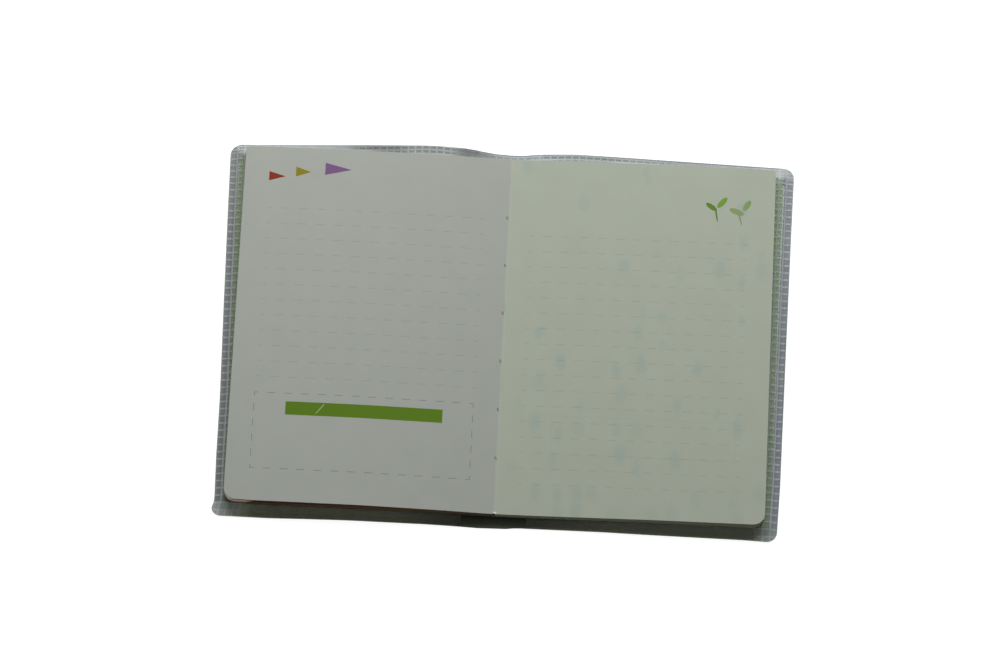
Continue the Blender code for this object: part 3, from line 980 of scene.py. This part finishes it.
def card_finish():
    material, tree, shader = new_material("green_card_stock", 0.75, 0.3)
    place, x, y = flat_position(tree)
    mottle = noise(tree, place, 420.0, 4.0, 0.6)
    specks = spread(tree, noise(tree, place, 3000.0, 2.0), 0.45, 0.75, 0.0, 1.0)
    clouds = spread(tree, mottle, 0.3, 0.7, 0.0, 1.0)
    front, back = mixed(tree, clouds, *FRONT_CARD), mixed(tree, clouds, *BACK_CARD)
    colour = mixed(tree, front_to_back(tree, x), front, back)
    colour = mixed(tree, calc(tree, "MULTIPLY", specks, 0.15), colour, linear(182, 208, 146))
    # Painted shade: the card gets darker towards the tail.
    painted_shade_to_tail = spread(tree, y, 70.0, -30.0, 0.0, 1.0)
    colour = mixed(tree, painted_shade_to_tail, colour, mixed(tree, 1.0, colour, linear(222, 224, 222), "MULTIPLY"))
    tree.links.new(colour, shader.inputs["Base Color"])
    add_bump(tree, shader, noise(tree, place, 1800.0, 3.0), 0.00003, 0.15)
    return material


SPINE_HALF, SPINE_STEP = 6.0, 0.5


def across_book(outer, radius):
    """Columns of a sheet that spans the whole book, from left to right."""
    right = stations(SPINE_HALF, outer, radius, step=3.0, fine=8.0)
    spine = np.arange(-SPINE_HALF + SPINE_STEP, SPINE_HALF, SPINE_STEP)
    return np.concatenate((-right[::-1], spine, right))


def card_fore_edge(side, y):
    """How far the card reaches from the gutter at this height of the page."""
    tail, head = CARD_FORE_EDGE[side]
    towards_head = (y - PAGES_UP + PAGE_HALF_HEIGHT) / (2 * PAGE_HALF_HEIGHT)
    return tail + (head - tail) * towards_head


def add_card_cover():
    columns = across_book(CARD_REACH, CARD_HEAD_CORNER)
    from_edge = CARD_REACH - np.abs(columns)
    tail = PAGE_HALF_HEIGHT - corner_cut(from_edge, CARD_TAIL_CORNER)
    head = PAGE_HALF_HEIGHT - corner_cut(from_edge, CARD_HEAD_CORNER)
    y = PAGES_UP - tail[:, None] + np.linspace(0, 1, CARD_ROWS)[None, :] * (tail + head)[:, None]
    x = np.repeat(columns[:, None], CARD_ROWS, axis=1)
    for side in (-1, 1):
        x = np.where(x * side > 0, x * card_fore_edge(side, y) / CARD_REACH, x)
    sides = [np.stack((x, y, lie(x, y, z)), axis=-1) for z in (CARD_TOP, CARD_BOTTOM)]
    cover = add_sheets("card_cover_sheet", [(*sides, np.stack((x, y), axis=-1))], [card_finish()])
    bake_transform(cover)
    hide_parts("cover_front_board", "cover_back_board", "cover_spine")
    return cover


card = add_card_cover()
print("card cover:", len(card.data.polygons), "faces")

# %% [markdown]
# The clear jacket
#
# The jacket is soft, clear plastic film with a fine pale grid on it. One sheet wraps the whole cover, and
# on each side a second sheet is welded to it round three edges as a pocket for the board. Film like this
# never lies quite flat: its head edge bulges and lifts beside the spine, and the two halves spread a
# little. A plain rectangle with a bend would miss that, so each edge is a list of places that were read
# off the book. The lift starts only beyond the card, so that the card never pokes through the film.

# %% Jacket outline
HEAD_EDGE = (
    (-111, 76.3), (-106, 77.0), (-90, 77.75), (-74, 78.55), (-58, 79.35), (-42, 80.1), (-34, 80.45),
    (-28, 80.5), (-18, 80.1), (-14, 79.6), (-10, 79.0), (-6, 78.45), (0, 78.15), (5, 78.25), (9.5, 78.9),
    (17, 79.3), (25, 79.7), (35, 79.6), (50, 79.3), (70, 78.85), (93, 78.35), (105, 78.1), (112, 77.8),
)
TAIL_EDGE = (
    (-111, -78.4), (-88, -78.5), (-73, -78.1), (-57, -77.8), (-26, -77.8), (-15, -78.0), (-6, -78.3),
    (5, -78.1), (9, -77.6), (43, -77.5), (60, -77.7), (98, -77.9), (112, -78.3),
)
LEFT_EDGE = (
    (-80, -109.6), (-76.5, -109.6), (-75, -109.3), (-73.4, -108.6), (-71, -108.4), (-54, -108.8),
    (-30, -108.9), (12, -109.9), (50, -110.7), (80, -111.2),
)
RIGHT_EDGE = ((-80, 110.0), (-55, 110.85), (-5, 111.4), (49, 112.1), (80, 112.6))
NOMINAL_X = 110.6
JACKET_CORNER = 4.0
LIFT_FROM, FILM_HEAD = 74.9, 79.0
LIFT_SHOWS = 0.376

# Height, middle and reach of the two bulges beside the spine.
LIFTS = ((2.0, -32, 17), (1.0, 27, 15))


def lift(x, y):
    """How far the film stands up from the table near its head edge."""
    near_head = np.clip((y - LIFT_FROM) / (FILM_HEAD - LIFT_FROM), 0, 1)
    return near_head * sum(most * np.exp(-(((x - middle) / reach) ** 2)) for most, middle, reach in LIFTS)


def film_grid(columns, rows=57):
    """Places of the film's points. Rows gather near both edges, and the grid follows the head edge."""
    share = np.sin(np.linspace(-1, 1, rows) * math.pi / 2) * 0.5 + np.linspace(-1, 1, rows) * 0.5
    cut = corner_cut(NOMINAL_X - np.abs(columns), JACKET_CORNER)
    lifted = LIFT_SHOWS * lift(columns, np.full(len(columns), FILM_HEAD))
    head = read_off(HEAD_EDGE, columns) - cut - lifted
    tail = read_off(TAIL_EDGE, columns) + cut
    y = (head + tail)[:, None] / 2 + share[None, :] * (head - tail)[:, None] / 2
    x = np.repeat(columns[:, None], rows, axis=1)
    left, right = read_off(LEFT_EDGE, y) / -NOMINAL_X, read_off(RIGHT_EDGE, y) / NOMINAL_X
    follow = np.clip((y - 60) / 15, 0, 1) * (FILM_HEAD - read_off(HEAD_EDGE, x))
    return np.where(x < 0, x * left, x * right), y, np.stack((x, y + follow), axis=-1)


print("head edge beside the spine:", float(read_off(HEAD_EDGE, -30)), "mm from the middle")

# %% [markdown]
# Values that change along the book
#
# The free strips of film at the head and the tail don't look like the rest, and they change along the
# book: the grid fades here and there as painted shade, and the painted light on them rises and falls. No
# formula gives that.
# Such a value is read off as knots, each a place across the book and a number, and the nodes join them
# with straight lines. A colour ramp could hold them too, but knots that are written out are easier to move.

# %% Knots and soft lines
GRID_X, GRID_Y = 2.8, 2.97
GRID_LINE = 0.62


def plateau(tree, value, low, high, soft):
    """1 between low and high, with soft shoulders."""
    rise = spread(tree, value, low - soft, low + soft, 0.0, 1.0)
    return calc(tree, "MINIMUM", rise, spread(tree, value, high - soft, high + soft, 1.0, 0.0))


def by_place(tree, value, knots):
    """A number that follows knots of (place in mm, number), with straight lines between them."""
    result = knots[0][1]
    for (x0, first), (x1, second) in zip(knots, knots[1:]):
        if first != second:
            result = calc(tree, "ADD", result, spread(tree, value, x0, x1, 0.0, second - first))
    return result


def soft_lines(tree, value, pitch, shift):
    """Lines of a grid in one direction, with soft sides."""
    phase = calc(tree, "ADD", calc(tree, "DIVIDE", value, pitch), shift)
    away = calc(tree, "ABSOLUTE", calc(tree, "SUBTRACT", phase, calc(tree, "ROUND", phase)))
    return spread(tree, away, GRID_LINE * 0.25 / pitch, GRID_LINE * 0.75 / pitch, 1.0, 0.0)


def all_but(tree, mask, share=1.0):
    """1 where the mask is 0, and 1 less the share where the mask is 1."""
    return calc(tree, "SUBTRACT", 1.0, calc(tree, "MULTIPLY", mask, share))


def only_at(tree, mask, level):
    """The level where the mask is 1, and 1 where it is 0."""
    return calc(tree, "ADD", 1.0, calc(tree, "MULTIPLY", mask, calc(tree, "SUBTRACT", level, 1.0)))


print("grid of the film:", GRID_X, "by", GRID_Y, "mm")

# %% [markdown]
# Grid and colour of the film
#
# The grid is a pale line about every three millimetres, with soft sides. At the head the level lines of
# both sheets lie half a pitch apart, so twice as many show. Three stretches there are calm, because the
# film turns away from the light, and at the tail, where the film lies in shade, the grid is faded: both
# fadings are painted shade. The plastic itself is a milky grey, a little bluer on the right, with a thin
# dark rim along the head and the right fore edge. A picture of such a grid would blur when it is seen
# close up, and lines that are computed don't.

# %% Grid and colour
# Painted shade: grid lines fade where the film turns away from the light, and in shade at the tail.
CALM_AT_HEAD = ((-101, -62, 3), (-23, -8, 2), (62, 98, 6))
CALM_SHARE = 0.75
LINES_FADE_IN_SHADE_AT_TAIL = ((-108, 0.55), (-102, 0.75), (-96, 0.92), (99, 0.92), (105, 0.5))
PALE_AT_HEAD = (
    (-106, 0.0), (-101, 0.8), (-65, 0.8), (-60, 0.1), (-8, 0.1), (50, 0.05), (64, 0.6), (102, 0.6),
)
RIM_AT_HEAD = ((-30, 0.0), (0, 0.85), (104, 0.85), (107, 0.3))
HEAD_RIM_FROM, SIDE_RIM_FROM = 78.5, 110.0


def grid_lines(tree, x, y, shift, at_head, at_tail):
    """The lines of the grid, weaker where it is calm or in shade: both fadings are painted shade."""
    level_lines = soft_lines(tree, y, GRID_Y, shift + 0.17)
    halfway = both(tree, at_head, soft_lines(tree, y, GRID_Y, shift + 0.67))
    lines = either(tree, soft_lines(tree, x, GRID_X, shift), level_lines, halfway)
    calm = both(tree, at_head, either(tree, *(plateau(tree, x, *stretch) for stretch in CALM_AT_HEAD)))
    shaded_lines = both(tree, at_tail, by_place(tree, x, LINES_FADE_IN_SHADE_AT_TAIL))
    return both(tree, lines, all_but(tree, calm, CALM_SHARE), all_but(tree, shaded_lines))


def film_rim(tree, x, y):
    """The thin dark rim along the head and the right fore edge."""
    head = both(tree, calc(tree, "GREATER_THAN", y, HEAD_RIM_FROM), by_place(tree, x, RIM_AT_HEAD))
    side = both(tree, calc(tree, "GREATER_THAN", x, SIDE_RIM_FROM), spread(tree, y, 60.0, 0.0, 0.0, 0.6))
    return either(tree, head, side)


def film_colour(tree, place, x, at_head, rim, lines):
    """The milky plastic with the rim and the grid on it."""
    haze = spread(tree, noise(tree, place, 60.0, 3.0), 0.3, 0.7, 0.0, 1.0)
    left = mixed(tree, haze, linear(108, 113, 113), linear(120, 125, 125))
    right = mixed(tree, haze, linear(116, 124, 128), linear(128, 136, 141))
    half = front_to_back(tree, x)
    body = mixed(tree, half, left, right)
    pale = both(tree, at_head, by_place(tree, x, PALE_AT_HEAD))
    body = mixed(tree, pale, body, linear(168, 175, 177))
    body = mixed(tree, rim, body, linear(96, 104, 110))
    line = mixed(tree, half, linear(142, 148, 148), linear(152, 158, 160))
    return mixed(tree, both(tree, lines, all_but(tree, rim)), body, line)


print("calm stretches of the grid at the head:", len(CALM_AT_HEAD))

# %% [markdown]
# Light, cover and gloss of the film
#
# Film is a thin gloss layer that lets light through, which the principled shader does with its alpha. Over
# the card only a quarter to a third of the film's own colour shows, so the green board glows through.
# Beside the card there is only the table behind it, and there the film hides more, because two milky
# sheets are welded together. Light and shade are painted into the film's colour: at the tail, where it
# lies in the shade of the pages, it is painted darker with an olive cast and lighter at its corners, and
# painted levels of light run along the head, down the sheet and at the sides. At the tail its gloss falls
# beside the spine, where it dips away from the lamp.

# %% Film finish
# Painted light and shade along the film, multiplied into its colour.
PAINTED_LIGHT_AT_TAIL = (
    (-106.5, 1.85), (-103, 2.3), (-100, 2.9), (-97.5, 2.3), (-95, 1.4), (-92.5, 1.0), (-88, 0.82),
    (-50, 0.82), (-30, 0.6), (-14, 0.25), (12, 0.25), (22, 0.4), (40, 0.58), (99, 0.6), (105, 1.3),
)
PAINTED_LIGHT_AT_HEAD = (
    (-62, 1.0), (-54, 0.82), (-45, 1.2), (-39, 2.0), (-22, 2.0), (-18, 1.25), (-8, 1.1), (8, 1.15),
    (14, 1.5), (30, 1.5), (36, 1.3), (48, 1.3), (62, 1.0),
)
PAINTED_LIGHT_AT_SIDES = ((-107.5, 1.09), (-105, 1.0), (104, 1.0), (107, 1.04))
# Painted shade: the olive cast of the film where it lies in shade at the tail.
OLIVE_SHADE_AT_TAIL = ((-109, 0.1), (-101, 0.25), (-92, 1.0), (99, 1.0), (106, 0.2))
OLIVE_SHADE_TAKES = (0.05, 0.0, 0.46)
DULL_AT_TAIL = (
    (-40, 0.02), (-14, 0.24), (-12.6, 0.24), (-12.4, 0.36), (12.4, 0.36), (12.6, 0.24), (22, 0.17),
    (45, 0.04),
)
OVER_CARD_ACROSS, OVER_CARD_DOWN, OVER_CARD_CORNER = 107.2, 73.8, 178.6
LINES_HIDE = 0.2
FILM_GLOSS = 0.5


def painted_film_light(tree, x, y, at_head, at_tail, rim):
    """Painted light on the film: the product of its painted levels at the tail, at the head, down the sheet
    and at the sides.
    """
    on_strip = both(tree, at_head, all_but(tree, rim))
    right_head = both(tree, spread(tree, y, 5.0, 70.0, 0.0, 0.14), spread(tree, x, 95.0, 100.0, 0.0, 1.0))
    return both(
        tree,
        only_at(tree, at_tail, by_place(tree, x, PAINTED_LIGHT_AT_TAIL)),
        only_at(tree, on_strip, by_place(tree, x, PAINTED_LIGHT_AT_HEAD)),
        spread(tree, y, 40.0, -70.0, 1.0, 1.14),
        calc(tree, "ADD", 1.0, right_head),
        by_place(tree, x, PAINTED_LIGHT_AT_SIDES),
    )


def lit(tree, colour, level, olive):
    """The colour times the painted light, with less red and blue where the painted shade is olive."""
    tint = tree.nodes.new("ShaderNodeCombineXYZ")
    for socket, share in zip(tint.inputs, OLIVE_SHADE_TAKES):
        tree.links.new(calc(tree, "MULTIPLY", level, all_but(tree, olive, share)), socket)
    return mixed(tree, 1.0, colour, tint.outputs[0], "MULTIPLY")


def film_cover(tree, x, y, lines, through, at_edge):
    """How much the film hides: little over the card, more beside it and on the lines."""
    from_gutter = calc(tree, "ABSOLUTE", x)
    from_middle = calc(tree, "ABSOLUTE", calc(tree, "SUBTRACT", y, PAGES_UP))
    over_card = both(
        tree,
        calc(tree, "LESS_THAN", from_gutter, OVER_CARD_ACROSS),
        calc(tree, "LESS_THAN", from_middle, OVER_CARD_DOWN),
        calc(tree, "LESS_THAN", calc(tree, "ADD", from_gutter, y), OVER_CARD_CORNER),
    )
    hidden = calc(tree, "ADD", at_edge, calc(tree, "MULTIPLY", over_card, through - at_edge))
    return calc(tree, "ADD", hidden, calc(tree, "MULTIPLY", lines, LINES_HIDE), clamp=True)


def film_finish(name, shift, through, at_edge):
    material, tree, shader = new_material(name, 0.32, FILM_GLOSS)
    place, x, y = flat_position(tree)
    at_head = spread(tree, y, 73.6, 74.6, 0.0, 1.0)
    at_tail = spread(tree, y, -73.4, -72.4, 1.0, 0.0)
    lines = grid_lines(tree, x, y, shift, at_head, at_tail)
    rim = film_rim(tree, x, y)
    olive = both(tree, at_tail, by_place(tree, x, OLIVE_SHADE_AT_TAIL))
    # Painted light and shade, multiplied into the film's colour.
    level = painted_film_light(tree, x, y, at_head, at_tail, rim)
    colour = lit(tree, film_colour(tree, place, x, at_head, rim, lines), level, olive)
    tree.links.new(colour, shader.inputs["Base Color"])
    tree.links.new(film_cover(tree, x, y, lines, through, at_edge), shader.inputs["Alpha"])
    dull = both(tree, at_tail, by_place(tree, x, DULL_AT_TAIL))
    tree.links.new(calc(tree, "SUBTRACT", FILM_GLOSS, dull), shader.inputs["Specular IOR Level"])
    rough = spread(tree, noise(tree, place, 240.0, 3.0), 0.3, 0.7, 0.26, 0.42)
    tree.links.new(rough, shader.inputs["Roughness"])
    waves = calc(tree, "MULTIPLY", noise(tree, place, 55.0, 2.0), 1.5)
    ripple = calc(tree, "ADD", waves, calc(tree, "MULTIPLY", lines, 0.25))
    add_bump(tree, shader, ripple, 0.0002, 0.5)
    return material


PANEL_FILM = film_finish("clear_film_back_sheet", 0.0, 0.3, 0.97)
POCKET_FILM = film_finish("clear_film_pocket", 0.5, 0.25, 0.6)
print("film finishes:", [film.name for film in (PANEL_FILM, POCKET_FILM)])
print("nodes in each:", [len(film.node_tree.nodes) for film in (PANEL_FILM, POCKET_FILM)])

# %% [markdown]
# Film sheets
#
# The wrap-round sheet bends at the spine and spans both halves of the book. The pockets stay with their
# halves. A pocket starts at its open mouth near the gutter, passes over the board and steps down to the
# wrap-round sheet outside the board's edge, where the weld joins the two.

# %% Jacket sheets
JACKET_SHEET, POCKET_SHEET = 0.35, 0.25
POCKET_MOUTH, POCKET_SHORT = 12.5, 0.15
POCKET_LOW, POCKET_RISE, RISE_OVER = 0.45, 0.85, 1.7
STEP_COLUMNS = np.array((104.5, 105.0, 105.5, 106.0))


def add_jacket_sheet():
    columns = across_book(NOMINAL_X, JACKET_CORNER)
    x, y, flat = film_grid(columns)
    raised = lift(x, y)
    sides = [np.stack((x, y, lie(x, y, z) + raised), axis=-1) for z in (JACKET_SHEET, 0.0)]
    jacket = add_sheets("jacket_wrap_sheet", [(*sides, flat)], [PANEL_FILM])
    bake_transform(jacket)
    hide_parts("jacket_front_panel", "jacket_back_panel", "jacket_spine")
    return jacket


def pocket_level(x, y, side):
    """Height of the pocket film: over the board it lies on the card, outside it lies on the panel."""
    inside = np.minimum(card_fore_edge(side, y) - np.abs(x), PAGE_HALF_HEIGHT - np.abs(y - PAGES_UP))
    share = np.clip((inside + RISE_OVER) / RISE_OVER, 0, 1)
    return POCKET_LOW + POCKET_RISE * share * share * (3 - 2 * share)


def add_pocket(side):
    columns = stations(POCKET_MOUTH, NOMINAL_X - POCKET_SHORT, JACKET_CORNER, step=2.0, fine=14.0)
    columns = np.sort(np.concatenate((columns, STEP_COLUMNS)) * side)
    x, y, flat = film_grid(columns)
    bottom = pocket_level(x, y, side)
    raised = lift(x, y)
    sides = [np.stack((x, y, lie(x, y, bottom + t) + raised), axis=-1) for t in (POCKET_SHEET, 0.0)]
    pocket = add_sheets(f"jacket_{WORDS[side]}_pocket_film", [(*sides, flat)], [POCKET_FILM])
    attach(pocket, BODIES[side])
    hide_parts(f"jacket_{WORDS[side]}_pocket")
    return pocket


films = [add_jacket_sheet()] + [add_pocket(side) for side in (-1, 1)]
print("film sheets:", [(o.name, len(o.data.polygons)) for o in films])

# %% [markdown]
# Sewing
#
# The sections are sewn with waxed thread. In the gutter it shows as six short stitches: the thread comes up
# through the fold, runs along it and dives back. Real thread is twisted from two strands, so two round
# strands are wound about each other along the stitch path. A curve with a bevel could draw one strand, but
# the winding is easier to place point by point.

# %% Twisted thread
def strand(path, radius, winding, start, pitch, sides=6):
    """Rings of points for one strand that winds about a path of points in mm."""
    path = np.array(path, float)
    along = np.concatenate(([0], np.cumsum(np.linalg.norm(np.diff(path, axis=0), axis=1))))
    tangent = np.gradient(path, axis=0)
    tangent /= np.linalg.norm(tangent, axis=1)[:, None]
    aside = np.repeat([(1.0, 0.0, 0.0)], len(path), axis=0)
    upward = np.cross(tangent, aside)
    turn = start + along / pitch * 2 * math.pi
    centre = path + winding * (np.cos(turn)[:, None] * aside + np.sin(turn)[:, None] * upward)
    ring = np.linspace(0, 2 * math.pi, sides, endpoint=False)[None, :, None]
    spokes = np.cos(ring) * aside[:, None, :] + np.sin(ring) * upward[:, None, :]
    return centre[:, None, :] + radius * spokes


def add_thread(name, paths, radius, winding, pitch, material):
    """Twisted thread along one or more paths, as closed tubes."""
    points, faces = [], []
    for path in paths:
        for start in (0.0, math.pi):
            rings = strand(path, radius, winding, start, pitch)
            first = sum(len(p) for p in points)
            count, sides = rings.shape[:2]
            points.append(rings.reshape(-1, 3))
            for c in range(count - 1):
                for s in range(sides):
                    a, b = first + c * sides + s, first + c * sides + (s + 1) % sides
                    faces.append((a, b, b + sides, a + sides))
            faces.append(tuple(first + s for s in reversed(range(sides))))
            faces.append(tuple(first + (count - 1) * sides + s for s in range(sides)))
    mesh = bpy.data.meshes.new(name)
    mesh.from_pydata((np.concatenate(points) * MM).tolist(), [], faces)
    mesh.materials.append(material)
    return placed(name, mesh)


def thread_finish():
    """Waxed linen: dull strands with a faint sheen and fine fibres."""
    material, tree, shader = new_material("waxed_thread", 0.6, 0.3)
    where = tree.nodes.new("ShaderNodeTexCoord")
    fibres = spread(tree, noise(tree, where.outputs["Object"], 4000.0, 3.0), 0.3, 0.7, 0.0, 1.0)
    colour = mixed(tree, fibres, linear(150, 153, 142), linear(178, 180, 168))
    tree.links.new(colour, shader.inputs["Base Color"])
    add_bump(tree, shader, noise(tree, where.outputs["Object"], 6000.0, 2.0), 0.00002, 0.5)
    return material


THREAD = thread_finish()
print("thread finish:", THREAD.name)

# %% [markdown]
# Stitches and kettle stitches
#
# The thread's centre line is a list of points from the tail to the head. It lies on the fold for the length
# of a stitch and dips under it between two stitches. Near both ends of the spine a kettle stitch links the
# sections: a short thread that stands upright beside the folds. Both use the same winding helper.

# %% Stitches in the gutter
STITCH_LENGTH = 1.6
STITCH_REACH, STITCH_ABOVE_FOLD, STITCH_DIVE = 1.2, 0.12, 0.85
STITCHES_MIDDLE = PAGES_UP - 0.95


def stitch_path():
    """The thread's centre line from the tail stitch to the head stitch."""
    path = []
    for k in range(STITCHES):
        middle = STITCHES_MIDDLE + STITCH_PITCH * (k - (STITCHES - 1) / 2)
        for along in np.linspace(-1, 1, 41):
            y = middle + along * (STITCH_LENGTH / 2 + STITCH_REACH)
            over = STITCH_LENGTH / 2 - abs(y - middle)
            drop = STITCH_DIVE * (1 - np.clip((over + 0.5) / 0.8, 0, 1)) ** 1.5
            path.append((0.0, y, float(lie(0, y, LEAF_TOP)) + STITCH_ABOVE_FOLD - drop))
    return path


thread = add_thread("sewing_thread_twist", [stitch_path()], 0.08, 0.08, 0.9, THREAD)
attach(thread, "back_half")
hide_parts("sewing_thread")


KETTLE_FROM_END, KETTLE_ASIDE = 11.5, 0.27
KETTLE_BOTTOM, KETTLE_TOP = 1.95, 5.4


def add_kettle_stitch(side, end):
    y = PAGES_UP + end * (PAGE_HALF_HEIGHT - KETTLE_FROM_END)
    word = f"kettle_stitch_{WORDS[side]}_{'head' if end > 0 else 'tail'}"
    heights = np.linspace(float(lie(0, y, KETTLE_BOTTOM)), float(lie(0, y, KETTLE_TOP)), 36)
    path = [(side * KETTLE_ASIDE, y + 0.05 * math.sin(h * 6), h) for h in heights]
    piece = add_thread(word + "_twist", [path], 0.05, 0.05, 0.5, THREAD)
    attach(piece, BODIES[side])
    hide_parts(word)
    return piece


kettles = [add_kettle_stitch(side, end) for side in (-1, 1) for end in (-1, 1)]
print("thread points:", len(thread.data.vertices), "and kettle stitches:", len(kettles))

# %% [markdown]
# Spine lining
#
# A strip of open-weave cloth is glued over the folds. It is hidden in the open book, so the frame's own
# solids stay and only get a finish: two sets of threads that cross, over and under, as a product of waves.

# %% Lining cloth
def lining_finish():
    material, tree, shader = new_material("open_weave_cloth", 0.9, 0.1)
    where = tree.nodes.new("ShaderNodeTexCoord")
    split = tree.nodes.new("ShaderNodeSeparateXYZ")
    tree.links.new(where.outputs["Object"], split.inputs[0])
    warp = calc(tree, "SINE", calc(tree, "MULTIPLY", split.outputs[1], 12000.0))
    weft = calc(tree, "SINE", calc(tree, "MULTIPLY", split.outputs[2], 12000.0))
    weave = spread(tree, calc(tree, "MULTIPLY", warp, weft), -1.0, 1.0, 0.0, 1.0)
    colour = mixed(tree, weave, linear(150, 148, 136), linear(188, 186, 174))
    tree.links.new(colour, shader.inputs["Base Color"])
    add_bump(tree, shader, weave, 0.00005, 0.8)
    return material


LINING = lining_finish()
for name in ("spine_lining_front", "spine_lining_back"):
    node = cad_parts[name]
    for slot in node.material_slots:
        slot.link = "OBJECT"
        slot.material = LINING
print("lining cloth on two strips")

# %% [markdown]
# The table
#
# The book lies on a plain white table. The camera sees the table as white through Light Path, while the
# light that the table throws back on the book stays moderate. A plain white surface would brighten the
# underside of the film too much.

# %% Table
def seen_directly(tree):
    """1 for camera, glossy and transmission rays."""
    path = tree.nodes.new("ShaderNodeLightPath")
    outputs = [path.outputs[name] for name in ("Is Camera Ray", "Is Glossy Ray", "Is Transmission Ray")]
    return either(tree, *outputs)


def table_finish():
    material = bpy.data.materials.new("white_table")
    material.use_nodes = True
    tree = material.node_tree
    tree.nodes.clear()
    glow = tree.nodes.new("ShaderNodeEmission")
    glow.inputs["Strength"].default_value = 0.93
    shaded = tree.nodes.new("ShaderNodeBsdfDiffuse")
    shaded.inputs["Color"].default_value = (0.25, 0.25, 0.25, 1)
    seen = tree.nodes.new("ShaderNodeAddShader")
    tree.links.new(glow.outputs[0], seen.inputs[0])
    tree.links.new(shaded.outputs[0], seen.inputs[1])
    plain = tree.nodes.new("ShaderNodeBsdfDiffuse")
    plain.inputs["Color"].default_value = (0.2, 0.2, 0.2, 1)
    choice = tree.nodes.new("ShaderNodeMixShader")
    tree.links.new(seen_directly(tree), choice.inputs[0])
    tree.links.new(plain.outputs[0], choice.inputs[1])
    tree.links.new(seen.outputs[0], choice.inputs[2])
    out = tree.nodes.new("ShaderNodeOutputMaterial")
    tree.links.new(choice.outputs[0], out.inputs[0])
    return material


TABLE_HALF, TABLE_LEVEL = 3.0, -0.0002


def add_table():
    turns = ((-1, -1), (1, -1), (1, 1), (-1, 1))
    corners = [(x * TABLE_HALF, y * TABLE_HALF, TABLE_LEVEL) for x, y in turns]
    mesh = bpy.data.meshes.new("table_top")
    mesh.from_pydata(corners, [], [(0, 1, 2, 3)])
    mesh.materials.append(table_finish())
    table = bpy.data.objects.new("table_top", mesh)
    bpy.context.scene.collection.objects.link(table)
    return table


table = add_table()
print("table laid at", round(table.data.vertices[0].co.z / MM, 2), "mm")

# %% [markdown]
# Lamp and world
#
# One wide soft lamp stands behind the head of the book. It lights the pages evenly, leaves the tail edges
# in shade, and its width makes the shadow narrow towards the corners, where a small lamp would draw a hard
# one. Its energy follows from the level that a pale surface should have, its distance and its size. The
# world adds a low even light on the book, and is white where the camera or a reflection meets it.

# %% Lamp and world
LAMP_DISTANCE = 0.9
LAMP_ELEVATION = math.radians(45)
LAMP_SIZE = (1.1, 0.4)
LAMP_LEVEL = 0.95
WORLD_LEVEL = 0.145


def add_lamp():
    data = bpy.data.lights.new("wide_soft_lamp", "AREA")
    data.shape = "RECTANGLE"
    data.size, data.size_y = LAMP_SIZE
    area = LAMP_SIZE[0] * LAMP_SIZE[1]
    seen_area = area * math.sin(LAMP_ELEVATION) / LAMP_DISTANCE**2
    data.energy = LAMP_LEVEL * math.pi / seen_area * area * math.pi
    lamp = bpy.data.objects.new("wide_soft_lamp", data)
    lamp.location = (0, LAMP_DISTANCE * math.cos(LAMP_ELEVATION), LAMP_DISTANCE * math.sin(LAMP_ELEVATION))
    lamp.rotation_euler = (-(math.pi / 2 - LAMP_ELEVATION), 0, 0)
    bpy.context.scene.collection.objects.link(lamp)
    return lamp


def set_world():
    world = bpy.data.worlds.new("white_room")
    bpy.context.scene.world = world
    world.use_nodes = True
    tree = world.node_tree
    tree.nodes.clear()
    white = tree.nodes.new("ShaderNodeBackground")
    white.inputs["Color"].default_value = (1, 1, 1, 1)
    low = tree.nodes.new("ShaderNodeBackground")
    low.inputs["Color"].default_value = (1, 1, 1, 1)
    low.inputs["Strength"].default_value = WORLD_LEVEL
    choice = tree.nodes.new("ShaderNodeMixShader")
    tree.links.new(seen_directly(tree), choice.inputs[0])
    tree.links.new(low.outputs[0], choice.inputs[1])
    tree.links.new(white.outputs[0], choice.inputs[2])
    out = tree.nodes.new("ShaderNodeOutputWorld")
    tree.links.new(choice.outputs[0], out.inputs[0])


lamp = add_lamp()
set_world()
bpy.context.scene.view_settings.view_transform = "Standard"
print("lamp energy:", round(lamp.data.energy, 2), "W")
